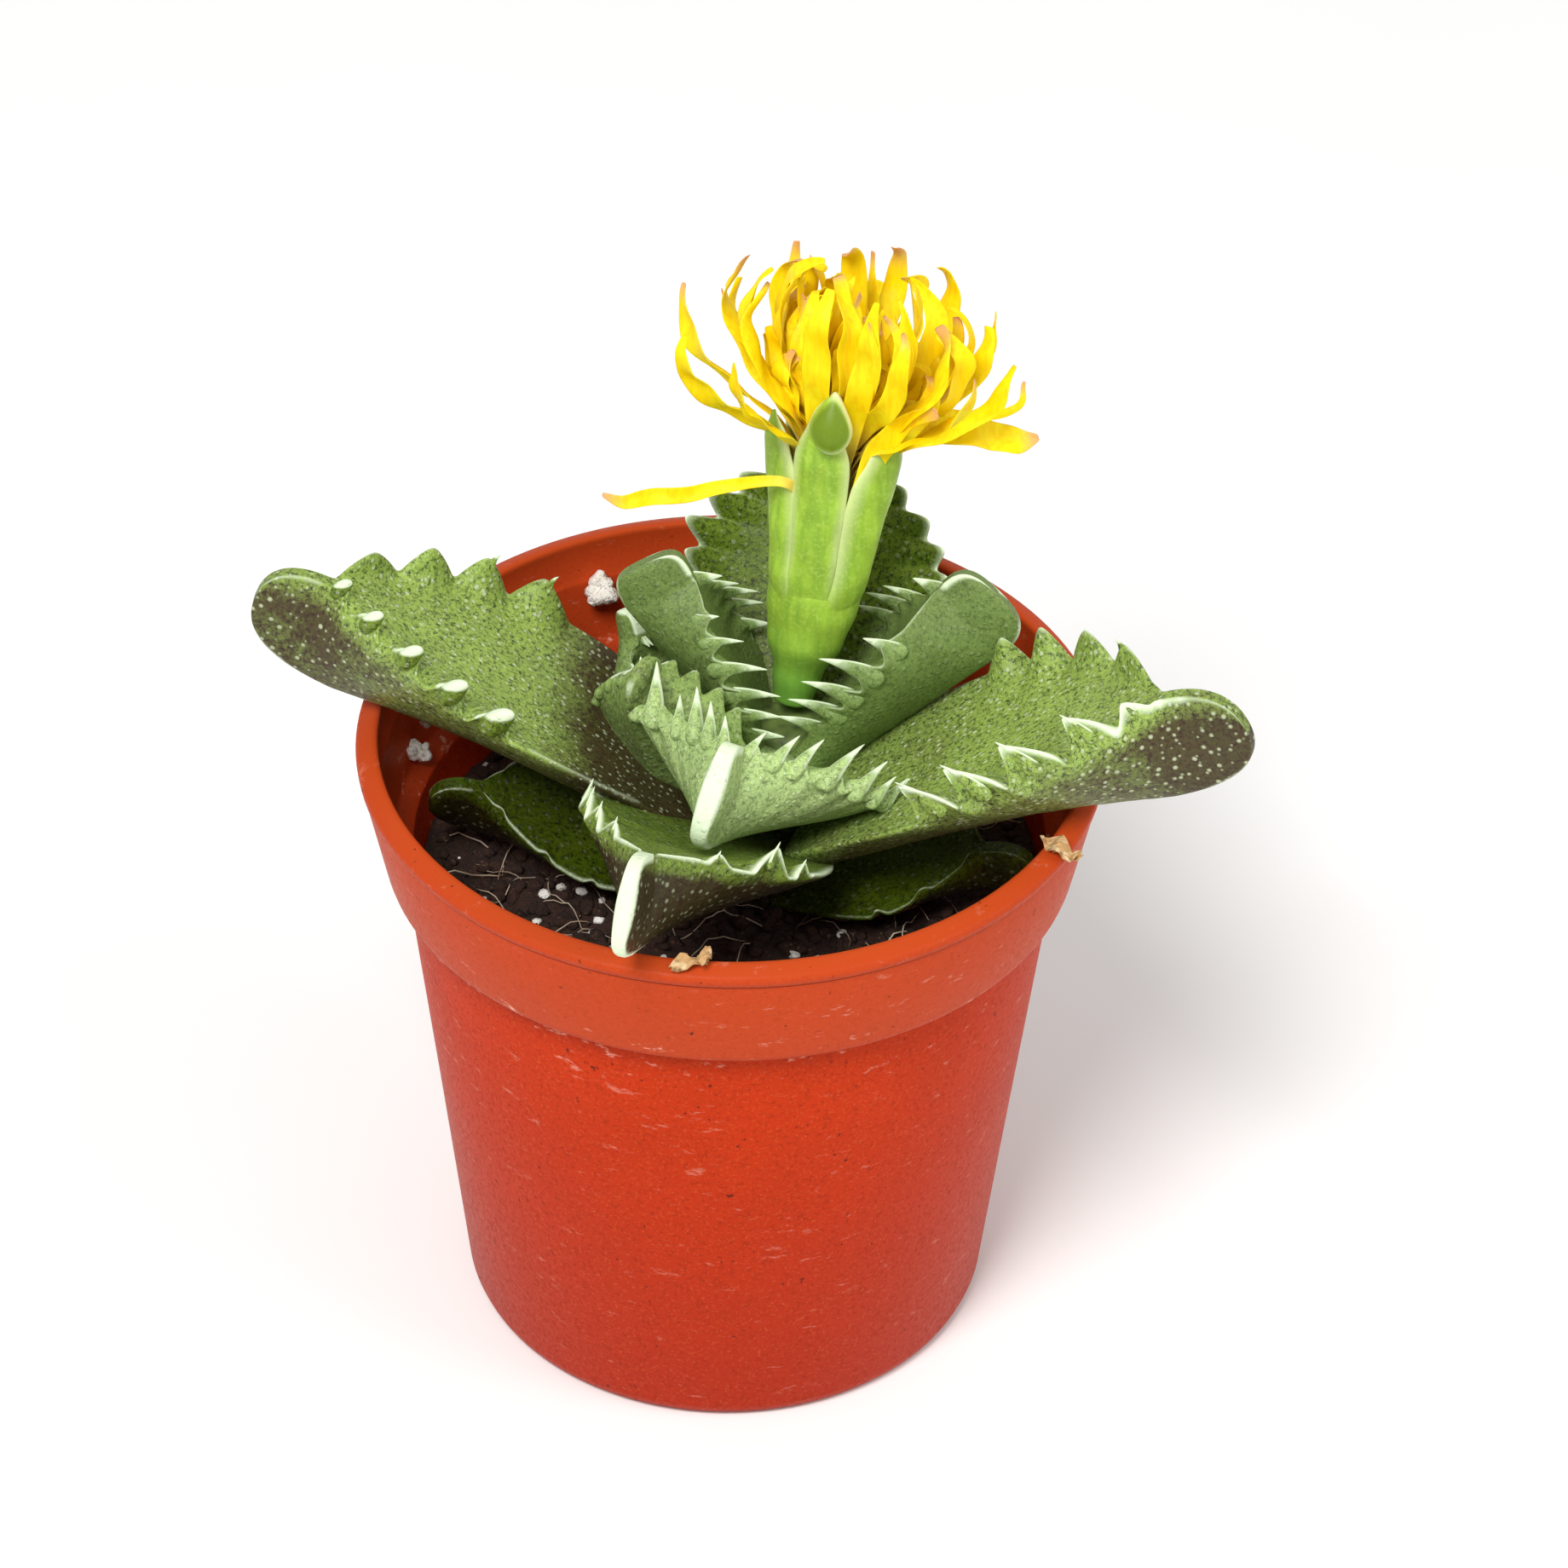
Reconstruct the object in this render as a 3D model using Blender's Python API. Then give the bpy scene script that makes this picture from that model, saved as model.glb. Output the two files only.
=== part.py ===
# Potted tiger jaws: a small succulent with paired, keeled and toothed leaves and one
# yellow bloom, growing in a thin plastic nursery pot.
# Metres, +Z up. Origin: centre of the pot's flat bottom. The view side is -Y.

import math
import random

import bpy
import bmesh
import numpy as np
from mathutils import Vector

MM = 0.001
SEED = 7
GAP = 0.3 * MM

# Pot
POT_SEGMENTS = 40
RIM_RADIUS = 32.5 * MM
RIM_INNER_RADIUS = 30.55 * MM
RIM_HEIGHT = 59.3 * MM
RIM_CROWN = 0.5 * MM
COLLAR_FOOT_RADIUS = 30.4 * MM
COLLAR_FOOT_HEIGHT = 48.4 * MM
COLLAR_LEDGE_HEIGHT = 55.5 * MM
BODY_TOP_RADIUS = 28.7 * MM
BODY_FOOT_RADIUS = 23.4 * MM
FOOT_ROUND = 1.4 * MM
POT_WALL = 1.0 * MM
POT_FLOOR = 1.4 * MM
DRAIN_HOLES = 5
DRAIN_RADIUS = 2.5 * MM
DRAIN_SIDES = 10
DRAIN_CIRCLE = 14.0 * MM

# Soil
SOIL_HEIGHT = 45.0 * MM
SOIL_ROUGHNESS = 0.5 * MM
SOIL_MOUND = 0.8 * MM
SOIL_FOOT = 1.2 * MM
SOIL_SIDES = 24
SOIL_RINGS = (1.0, 0.8, 0.6, 0.4, 0.2)

# Stem
STEM_FOOT = Vector((3.2, 1.6, 32.0)) * MM
STEM_TOP = Vector((4.8, 5.2, 57.4)) * MM
STEM_FOOT_RADIUS = 3.8 * MM
STEM_TOP_RADIUS = 3.4 * MM
STEM_SIDES = 16

# Leaves, from the crown's middle outwards. Lengths in millimetres, angles in degrees.
# heading: compass of the leaf seen from above, from +X towards +Y; pitch: its rise at
# the root; bend: how much that changes by the tip; roll: turn about its own length;
# apex and chin: where the margins meet and where the keel is deepest, along the length.
# band: half of the keel's flat band where it isn't the usual one;
# full: below 1 the leaf keeps its width further out; square: above 2.4 its end is flatter;
# right and left: the teeth of each margin as their place along the length and their height;
# splay: how far they lean outward for their height; blunt: 1 for rounded lobes.
LEAVES = [
    dict(name="leaf_inner_left", base=(3.9, 5.4, 55.2), heading=166, pitch=68, bend=-7, roll=9,
         twist=9, length=21.2, half_width=6.6, keel=6.7, root=0.80, heel=0.55, apex=0.86,
         chin=0.83, nose=0.5, square=4.0,
         right=[(0.40, 2.4), (0.52, 2.8), (0.61, 3.2), (0.70, 2.4), (0.83, 2.2)],
         left=[(0.20, 2.6), (0.31, 3.2), (0.42, 3.8), (0.54, 3.6), (0.64, 2.4), (0.72, 1.0)]),
    dict(name="leaf_inner_right", base=(6.2, 5.6, 55.6), heading=7, pitch=56, bend=-9, roll=-22,
         twist=0, length=22.6, half_width=6.9, keel=8.2, root=0.76, heel=0.6, apex=0.86,
         chin=0.83, nose=0.5, square=3.2,
         right=[(0.18, 3.6), (0.28, 3.8), (0.38, 4.0), (0.50, 4.2), (0.62, 2.4)],
         left=[(0.39, 2.4), (0.50, 3.2), (0.59, 3.4), (0.68, 3.0), (0.84, 2.2)]),
    dict(name="leaf_front", base=(5.0, 3.2, 55.3), heading=255, pitch=35, bend=8, roll=-12,
         twist=4, length=26.4, half_width=12.0, band=0.85, keel=9.2, root=0.62, heel=0.55,
         apex=0.87, chin=0.84, nose=0.5, square=3.6, splay=0.45,
         right=[(0.32, 2.6), (0.40, 2.6), (0.48, 1.8), (0.55, 4.4), (0.64, 4.6), (0.72, 2.6),
                (0.765, 3.8), (0.80, 3.0), (0.835, 2.2)],
         left=[(0.28, 2.2), (0.36, 2.4), (0.44, 2.4), (0.53, 2.2), (0.60, 3.2), (0.68, 3.9),
               (0.75, 3.1), (0.79, 2.7), (0.84, 2.0)]),
    dict(name="leaf_back", base=(4.8, 7.6, 55.0), heading=73, pitch=50, bend=-5, roll=2,
         twist=1, length=29.5, half_width=10.4, keel=6.6, root=0.66, heel=0.55, apex=0.86,
         chin=0.84, nose=0.5, blunt=1.0, splay=0.9,
         right=[(0.40, 1.8), (0.49, 1.9), (0.57, 1.9), (0.65, 1.8), (0.73, 1.7), (0.80, 1.5)],
         left=[(0.42, 1.8), (0.51, 2.6), (0.60, 2.2), (0.68, 1.9), (0.76, 1.8), (0.83, 1.6)]),
    dict(name="leaf_shoot_front", base=(-3.2, 3.0, 50.5), heading=228, pitch=72, bend=6, roll=8,
         twist=3, length=20.0, half_width=8.2, keel=5.2, root=0.62, heel=0.7, apex=0.88,
         chin=0.84, nose=0.5,
         right=[(0.50, 2.2), (0.57, 2.4), (0.65, 2.6), (0.72, 2.4), (0.79, 2.2), (0.86, 1.8)],
         left=[(0.62, 2.2), (0.70, 2.4), (0.78, 2.4), (0.85, 2.4)]),
    dict(name="leaf_shoot_back", base=(-5.0, 6.6, 50.5), heading=125, pitch=66, bend=2, roll=0,
         twist=0, length=15.0, half_width=4.8, keel=3.6, root=0.7, heel=0.7, apex=0.86,
         chin=0.84, nose=0.5,
         right=[(0.48, 1.6), (0.60, 1.8), (0.72, 1.6), (0.83, 1.2)],
         left=[(0.48, 1.6), (0.60, 1.8), (0.72, 1.6), (0.83, 1.2)]),
    dict(name="leaf_left", base=(1.2, 1.0, 51.2), heading=176, pitch=37, bend=-13, roll=6,
         twist=-2, length=47.4, half_width=11.3, full=0.78, keel=9.8, root=0.66, heel=0.57,
         apex=0.89, chin=0.79, nose=0.4,
         right=[(0.50, 3.2), (0.62, 2.9), (0.73, 2.6), (0.84, 2.3)],
         left=[(0.51, 2.6), (0.60, 2.2), (0.69, 1.8), (0.77, 1.5), (0.84, 1.2)]),
    dict(name="leaf_right", base=(6.8, -1.6, 53.4), heading=-20, pitch=39, bend=-13, roll=1,
         twist=-1, length=43.8, half_width=11.4, full=0.88, keel=9.8, root=0.7, heel=0.57,
         apex=0.86, chin=0.78, nose=0.5,
         right=[(0.44, 4.2), (0.54, 3.6), (0.64, 3.0), (0.74, 2.3), (0.81, 1.2)],
         left=[(0.46, 3.2), (0.55, 2.8), (0.64, 2.4), (0.73, 3.0), (0.80, 1.8)]),
    dict(name="leaf_low_front", base=(2.2, 0.6, 49.4), heading=253, pitch=34, bend=-1, roll=-11,
         twist=10, length=41.4, half_width=10.8, band=0.75, keel=8.8, root=0.66, heel=0.5,
         apex=0.9, chin=0.87, nose=0.5, square=3.6,
         right=[(0.52, 2.2), (0.60, 2.2), (0.68, 1.8), (0.76, 1.4)],
         left=[(0.54, 1.8), (0.64, 2.4), (0.76, 1.2)]),
    dict(name="leaf_low_back", base=(4.6, 5.0, 49.0), heading=93, pitch=37, bend=-4, roll=0,
         twist=0, length=25.5, half_width=10.0, keel=6.2, root=0.66, heel=0.55, apex=0.87,
         chin=0.84, nose=0.5,
         right=[(0.50, 2.2), (0.60, 2.2), (0.70, 2.0), (0.80, 1.8)],
         left=[(0.50, 2.2), (0.60, 2.2), (0.70, 2.4), (0.80, 1.8)]),
    dict(name="leaf_old_left", base=(1.2, 1.4, 46.8), heading=185, pitch=15, bend=5, roll=-10,
         twist=-6, length=28.0, half_width=8.4, keel=6.0, root=0.7, heel=0.55, apex=0.88,
         chin=0.82, nose=0.5,
         right=[(0.50, 0.8), (0.65, 0.8), (0.80, 0.8)],
         left=[(0.50, 0.8), (0.65, 0.8), (0.80, 0.8)]),
    dict(name="leaf_old_right", base=(5.2, 0.0, 46.4), heading=-21, pitch=17, bend=5, roll=9,
         twist=0, length=23.0, half_width=8.2, keel=5.0, root=0.72, heel=0.55, apex=0.84,
         chin=0.82, nose=0.5,
         right=[(0.50, 0.8), (0.65, 0.8), (0.80, 0.8)],
         left=[(0.50, 0.8), (0.65, 0.8), (0.80, 0.8)]),
]
# The leaves that press into the soil.
LYING_LEAVES = ("leaf_low", "leaf_old")
LEAF_STATIONS = 9
NOSE_STATIONS = 3
NOSE_FULLNESS = 2.4
KEEL_BAND = 0.6
WIDEST = 0.45
SIDE_BULGE = 0.9 * MM
TOOTH_SINK = 0.9 * MM
TOOTH_THICKNESS = 1.5 * MM
TOOTH_SLOPE = 0.55
TOOTH_FOOT = 0.4 * MM
TOOTH_SPLAY = 0.5 * MM
TOOTH_HOOK = 0.5

# Flower
FLOWER_BASE = Vector((5.2, 6.2, 58.3)) * MM
FLOWER_AXIS = Vector((0.175, 0.25, 0.95)).normalized()
# How far the flower leans away from its axis above the tube's mouth.
CUP_SWAY = Vector((-0.08, 0.0, 0.0))
TUBE_RINGS = [(0.0, 1.7), (3.0, 2.2), (6.5, 3.4), (10.0, 4.0), (14.0, 4.3)]
TUBE_SIDES = 20
SEPALS = 5
SEPAL_FIRST = 262
SEPAL_ROOT = 10.5 * MM
SEPAL_LENGTH = 20.3 * MM
SHORT_SEPAL = 0.82
SEPAL_SPREAD = 1.6 * MM
SEPAL_THICKNESS = 1.1 * MM
# Along a sepal: share of its length, inner radius in mm, half-width in degrees.
SEPAL_ROWS = [(0.0, 3.0, 36.5), (0.3, 3.3, 36.5), (0.55, 3.6, 34.0), (0.75, 4.0, 29.0), (0.94, 4.1, 20.0)]

# Petals: thickness, and the short core that they grow from.
PETAL_THICKNESS = 0.75 * MM
PETAL_STATIONS = (0.0, 0.2, 0.36, 0.52, 0.68, 0.83, 0.95, 1.0)
SPREAD_SHARE = 0.45
CURL_POWER = 1.8
PETAL_TURN = 0.3
CORE_RADIUS = 2.3 * MM
CORE_HEIGHT = 8.6 * MM
CORE_SIDES = 14
# Layers: count, root radius and height, first and widest lean, what the right side leans
# more, last lean, length, width.
PETAL_LAYERS = [
    (13, 1.9, 5.5, 15, 62, -14, -10, 22.5, 2.2),
    (12, 1.6, 6.0, 10, 42, 8, -55, 22.5, 2.3),
    (8, 0.9, 6.5, 6, 26, 12, -70, 21.0, 2.2),
]
# All petals of the left side lean this much more.
LEFT_LEAN = 9
# Petals just behind the hooded front sepal stay within this much of upright.
HOOD_ARC = 34
HOOD_LEAN = 26
# Single petals that stand out: name, face direction, widths in mm, and the way each one
# runs as angle, radius and height round the flower axis.
SINGLE_PETALS = [
    ("drooping", (0.1, -0.8, 0.6), (0.9, 0.9, 0.9, 1.2, 1.7, 2.0, 2.1, 1.8),
     [(226, 1.8, 17.0), (226, 4.0, 20.4), (226, 5.9, 21.8), (214, 7.3, 21.5), (204, 10.2, 20.4),
      (198, 12.7, 19.1), (194, 15.4, 18.0), (191, 17.8, 17.2), (190, 19.8, 17.3)]),
    ("strap", (-0.1, -0.7, 0.7), (1.2, 1.4, 1.8, 2.1, 2.4, 2.5, 2.5, 2.3, 1.8),
     [(340, 1.4, 21.0), (340, 2.4, 26.0), (341, 4.4, 28.2), (342, 6.8, 28.4), (344, 9.2, 28.4),
      (347, 11.6, 28.8), (350, 13.7, 28.8), (352, 15.8, 28.7), (353, 17.2, 29.3)]),
    ("tendril", (0.0, -0.7, 0.7), (1.2, 1.2, 1.2, 1.2, 1.2, 1.1),
     [(0, 1.6, 21.5), (0, 3.0, 26.5), (0, 5.8, 29.2), (3, 9.9, 28.9), (6, 13.8, 29.3),
      (8, 15.6, 30.4), (8, 15.8, 32.7)]),
]

# Surfaces: linear colour and roughness.
SURFACES = {
    "pot": ((0.53, 0.07, 0.02), 0.35),
    "soil": ((0.035, 0.02, 0.015), 0.95),
    "stem": ((0.12, 0.16, 0.06), 0.7),
    "leaf": ((0.10, 0.25, 0.05), 0.5),
    "leaf_dark": ((0.06, 0.13, 0.04), 0.5),
    "calyx": ((0.28, 0.5, 0.05), 0.45),
    "petal": ((0.95, 0.62, 0.01), 0.55),
}


def clear_scene():
    for item in list(bpy.data.objects):
        bpy.data.objects.remove(item, do_unlink=True)


def make_material(name, color, roughness):
    material = bpy.data.materials.new(name)
    material.use_nodes = True
    shader = material.node_tree.nodes["Principled BSDF"]
    shader.inputs["Base Color"].default_value = (*color, 1.0)
    shader.inputs["Roughness"].default_value = roughness
    shader.inputs["Metallic"].default_value = 0.0
    return material


def mesh_object(name, points, faces, collection=None):
    """A triangulated mesh with its faces outward, in the given collection or the scene."""
    mesh = bpy.data.meshes.new(name)
    mesh.from_pydata([tuple(point) for point in points], [], faces)
    work = bmesh.new()
    work.from_mesh(mesh)
    bmesh.ops.triangulate(work, faces=[face for face in work.faces if len(face.verts) > 3])
    bmesh.ops.recalc_face_normals(work, faces=work.faces)
    work.to_mesh(mesh)
    work.free()
    item = bpy.data.objects.new(name, mesh)
    (collection or bpy.context.scene.collection).objects.link(item)
    return item


def loft(name, rings, collection=None, tip=None):
    """Closed skin through rings of equal count, with a flat start and a flat or pointed end."""
    count = len(rings[0])
    points = [point for ring in rings for point in ring]
    faces = [list(range(count))[::-1]]
    for row in range(len(rings) - 1):
        for k in range(count):
            after = (k + 1) % count
            faces.append([row * count + k, row * count + after,
                          (row + 1) * count + after, (row + 1) * count + k])
    last = (len(rings) - 1) * count
    if tip is None:
        faces.append(list(range(last, last + count)))
    else:
        points.append(tip)
        faces += [[last + k, last + (k + 1) % count, len(points) - 1] for k in range(count)]
    return mesh_object(name, points, faces, collection)


def apply_modifiers(item):
    depsgraph = bpy.context.evaluated_depsgraph_get()
    mesh = bpy.data.meshes.new_from_object(item.evaluated_get(depsgraph))
    item.modifiers.clear()
    item.data = mesh


def boolean_with(item, collection, operation, solver="EXACT"):
    """Joins to or cuts from the item everything in the collection, which is then removed."""
    modifier = item.modifiers.new(operation.lower(), "BOOLEAN")
    modifier.operation = operation
    modifier.operand_type = "COLLECTION"
    modifier.collection = collection
    modifier.solver = solver
    apply_modifiers(item)
    for other in list(collection.objects):
        bpy.data.objects.remove(other, do_unlink=True)
    bpy.data.collections.remove(collection)


def work_collection(name):
    collection = bpy.data.collections.new(name)
    bpy.context.scene.collection.children.link(collection)
    return collection


def keep_largest(item):
    """Drops loose scraps that a cut leaves behind."""
    work = bmesh.new()
    work.from_mesh(item.data)
    left = set(work.verts)
    islands = []
    while left:
        stack = [left.pop()]
        island = set(stack)
        while stack:
            for edge in stack.pop().link_edges:
                for vertex in edge.verts:
                    if vertex in left:
                        left.discard(vertex)
                        island.add(vertex)
                        stack.append(vertex)
        islands.append(island)
    islands.sort(key=len)
    scraps = [vertex for island in islands[:-1] for vertex in island]
    bmesh.ops.delete(work, geom=scraps, context="VERTS")
    work.to_mesh(item.data)
    work.free()


def add_copies(items, collection):
    for item in items:
        collection.objects.link(item.copy())


def finish(item, material):
    item.data.materials.clear()
    item.data.materials.append(material)
    item.data.shade_smooth()
    item.data.set_sharp_from_angle(angle=math.radians(35))


def turned(name, profile, segments):
    """A closed solid turned about Z from a profile of radius and height."""
    rings = []
    for k in range(segments):
        angle = 2 * math.pi * k / segments
        rings.append([(r * math.cos(angle), r * math.sin(angle), z) for r, z in profile])
    count = len(profile)
    points = [point for ring in rings for point in ring]
    faces = []
    for k in range(segments):
        after = (k + 1) % segments
        for row in range(count - 1):
            faces.append([k * count + row, after * count + row,
                          after * count + row + 1, k * count + row + 1])
    for row in (0, count - 1):
        points.append((0.0, 0.0, profile[row][1]))
        centre = len(points) - 1
        faces += [[k * count + row, ((k + 1) % segments) * count + row, centre]
                  for k in range(segments)]
    return mesh_object(name, points, faces)


def body_radius(height):
    share = height / COLLAR_FOOT_HEIGHT
    return BODY_FOOT_RADIUS + (BODY_TOP_RADIUS - BODY_FOOT_RADIUS) * share


def build_pot(material):
    foot = [(body_radius(0.0) - FOOT_ROUND * (1 - math.cos(a)), FOOT_ROUND * (1 - math.sin(a)))
            for a in (math.radians(90), math.radians(45), 0.0)]
    inner_foot = body_radius(POT_FLOOR) - POT_WALL
    collar_inner = COLLAR_FOOT_RADIUS - POT_WALL
    profile = foot + [
        (BODY_TOP_RADIUS, COLLAR_FOOT_HEIGHT - 0.3 * MM),
        (COLLAR_FOOT_RADIUS - 0.3 * MM, COLLAR_FOOT_HEIGHT),
        (COLLAR_FOOT_RADIUS, COLLAR_FOOT_HEIGHT + 0.4 * MM),
        (RIM_RADIUS, RIM_HEIGHT - 0.2 * MM),
        (RIM_INNER_RADIUS + 0.4 * MM, RIM_HEIGHT + RIM_CROWN),
        (RIM_INNER_RADIUS, RIM_HEIGHT + RIM_CROWN - 0.3 * MM),
        (RIM_INNER_RADIUS, COLLAR_LEDGE_HEIGHT),
        (RIM_INNER_RADIUS - 0.3 * MM, COLLAR_LEDGE_HEIGHT - 0.2 * MM),
        (collar_inner, COLLAR_FOOT_HEIGHT + 1.0 * MM),
        (BODY_TOP_RADIUS - POT_WALL, COLLAR_FOOT_HEIGHT + 0.2 * MM),
        (inner_foot, POT_FLOOR + 1.0 * MM),
        (inner_foot - 1.0 * MM, POT_FLOOR),
    ]
    pot = turned("pot", profile, POT_SEGMENTS)
    holes = work_collection("drains")
    for k in range(DRAIN_HOLES):
        angle = 2 * math.pi * k / DRAIN_HOLES
        centre = (DRAIN_CIRCLE * math.cos(angle), DRAIN_CIRCLE * math.sin(angle))
        ring = [(centre[0] + DRAIN_RADIUS * math.cos(a), centre[1] + DRAIN_RADIUS * math.sin(a))
                for a in np.linspace(0, 2 * math.pi, DRAIN_SIDES, endpoint=False)]
        loft(f"drain_{k}", [[(x, y, z) for x, y in ring] for z in (-2 * MM, POT_FLOOR + 2 * MM)], holes)
    boolean_with(pot, holes, "DIFFERENCE")
    finish(pot, material)
    return pot


def stem_ring(share, grow=0.0):
    centre = STEM_FOOT.lerp(STEM_TOP, share)
    radius = STEM_FOOT_RADIUS + (STEM_TOP_RADIUS - STEM_FOOT_RADIUS) * share + grow
    return [centre + Vector((radius * math.cos(a), radius * math.sin(a), 0.0))
            for a in np.linspace(0, 2 * math.pi, STEM_SIDES, endpoint=False)]


def build_stem(material):
    stem = loft("stem", [stem_ring(share) for share in (0.0, 0.5, 0.9)] + [stem_ring(1.0, -0.4 * MM)])
    finish(stem, material)
    return stem


def soil_height(x, y):
    """Loose compost: low bumps, and a little higher round the stem."""
    bumps = math.sin(x * 610 + 1.0) * math.cos(y * 540) + 0.6 * math.sin(x * 1130 + y * 870)
    near = math.hypot(x - 4 * MM, y - 3 * MM) / (14 * MM)
    return SOIL_HEIGHT + SOIL_ROUGHNESS * 0.5 * bumps + SOIL_MOUND * math.exp(-near * near)


def build_soil(guides, material):
    """The compost inside the pot, dented where the stem and the lowest leaves lie on it."""
    floor = POT_FLOOR + GAP
    edge = body_radius(SOIL_HEIGHT) - POT_WALL - GAP
    foot = body_radius(floor) - POT_WALL - GAP - SOIL_FOOT
    angles = np.linspace(0, 2 * math.pi, SOIL_SIDES, endpoint=False)
    rings = [[(foot * math.cos(a), foot * math.sin(a), floor) for a in angles]]
    low = body_radius(floor + SOIL_FOOT) - POT_WALL - GAP
    rings.append([(low * math.cos(a), low * math.sin(a), floor + SOIL_FOOT) for a in angles])
    for share in SOIL_RINGS:
        radius = edge * share
        rings.append([(radius * math.cos(a), radius * math.sin(a),
                       soil_height(radius * math.cos(a), radius * math.sin(a))) for a in angles])
    soil = loft("soil", rings, tip=(0.0, 0.0, soil_height(0.0, 0.0)))
    cutters = work_collection("dents")
    loft("hole", [stem_ring(share, GAP) for share in (-0.02, 1.2)], cutters)
    add_copies([guide for guide in guides.objects if guide.name.startswith(LYING_LEAVES)], cutters)
    boolean_with(soil, cutters, "DIFFERENCE", "MANIFOLD")
    finish(soil, material)
    return soil


def leaf_spine(leaf, steps=60):
    """Points along the leaf's upper midline, with tangent, upward and rightward directions."""
    share = np.linspace(0.0, 1.0, steps + 1)
    pitch = np.radians(leaf["pitch"] + leaf["bend"] * share)
    heading = math.radians(leaf["heading"])
    tangent = np.stack([np.cos(pitch) * math.cos(heading), np.cos(pitch) * math.sin(heading),
                        np.sin(pitch)], axis=1)
    step = leaf["length"] * MM / steps
    middle = 0.5 * (tangent[:-1] + tangent[1:]) * step
    place = np.vstack([[0, 0, 0], np.cumsum(middle, axis=0)]) + np.array(leaf["base"]) * MM
    right = np.tile([math.sin(heading), -math.cos(heading), 0.0], (steps + 1, 1))
    up = np.cross(right, tangent)
    roll = np.radians(leaf["roll"] + leaf["twist"] * share)[:, None]
    return (place, tangent, up * np.cos(roll) + right * np.sin(roll),
            right * np.cos(roll) - up * np.sin(roll))


def spine_at(spine, share):
    """Interpolated place, tangent, up and right at a share of the length."""
    steps = len(spine[0]) - 1
    index = min(int(share * steps), steps - 1)
    part = share * steps - index
    return [row[index] * (1 - part) + row[index + 1] * part for row in spine]


def superellipse(part, power=NOSE_FULLNESS):
    return max(0.0, 1.0 - min(1.0, max(0.0, part)) ** power) ** (1.0 / power)


def leaf_half_width(leaf, share):
    widest = leaf["half_width"] * MM
    if share < WIDEST:
        width = widest * (leaf["root"] + (1 - leaf["root"]) * math.sin(math.pi / 2 * share / WIDEST))
    else:
        part = min(1.0, (share - WIDEST) / (leaf["apex"] - WIDEST))
        width = widest * math.cos(math.pi / 2 * part) ** leaf.get("full", 1.0)
    return max(width, keel_half_width(leaf, share))


def keel_half_width(leaf, share):
    """Half of the keel's flat band, which rounds off at the very end of the nose."""
    past = max(0.0, (share - leaf["apex"]) / (1 - leaf["apex"]))
    return leaf.get("band", KEEL_BAND) * MM * (1 - past ** 4) ** 0.25


def leaf_top(leaf, share):
    drop = leaf["nose"] * leaf["keel"] * MM
    if share <= leaf["apex"]:
        return 0.0
    past = (share - leaf["apex"]) / (1 - leaf["apex"])
    return -drop * (1 - superellipse(past, leaf.get("square", NOSE_FULLNESS)))


def leaf_bottom(leaf, share):
    keel = leaf["keel"] * MM
    if share < leaf["chin"]:
        return -keel * (leaf["heel"] + (1 - leaf["heel"]) * share / leaf["chin"])
    drop = leaf["nose"] * keel
    past = (share - leaf["chin"]) / (1 - leaf["chin"])
    return -drop - (keel - drop) * superellipse(past, leaf.get("square", NOSE_FULLNESS))


def leaf_ring(leaf, spine, share, grow):
    """One cross-section: flat upper face, bulging sides and a narrow keel below."""
    place, _, up, right = spine_at(spine, share)
    width = leaf_half_width(leaf, share) + 1.6 * grow
    top = leaf_top(leaf, share) + grow
    bottom = leaf_bottom(leaf, share) - grow
    keel = keel_half_width(leaf, share) + grow
    root_round = max(0.0, 1 - share / 0.5)
    bulge = (SIDE_BULGE + 1.6 * MM * root_round) * superellipse((share - 0.5) / 0.5)
    dish = (0.5 * MM - grow) * math.sin(math.pi * min(1.0, share / leaf["apex"]))
    outline = [(-width, top), (0.0, top - dish), (width, top)]
    for depth in (0.35, 0.72):
        side = width * (1 - depth) + keel * depth + bulge * 4 * depth * (1 - depth)
        outline.append((side, top + (bottom - top) * depth))
    outline.append((keel, bottom))
    outline += [(-across, height) for across, height in outline[:2:-1]]
    return [place + right * across + up * height for across, height in outline]


def leaf_stations(leaf):
    body = np.linspace(0.0, leaf["apex"], LEAF_STATIONS)
    nose = [leaf["apex"] + (1 - leaf["apex"]) * math.sin(math.pi / 2 * k / (NOSE_STATIONS + 0.5))
            for k in range(1, NOSE_STATIONS + 1)]
    return list(body) + nose


def leaf_body(leaf, name, grow=0.0, collection=None):
    spine = leaf_spine(leaf)
    rings = [leaf_ring(leaf, spine, share, grow) for share in leaf_stations(leaf)]
    place, along, up, _ = spine_at(spine, 1.0)
    return loft(name, rings, collection, tip=place + along * grow + up * leaf_top(leaf, 1.0))


def tooth_half_base(leaf, teeth, k):
    """Half of a tooth's base: by its height, and about half the way to the next one."""
    near = min(abs(teeth[k][0] - other[0]) for other in teeth if other is not teeth[k])
    slope = TOOTH_SLOPE * (1 + leaf.get("blunt", 0.0))
    return min(0.55 * near * leaf["length"] * MM, slope * teeth[k][1] * MM + TOOTH_FOOT)


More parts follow.
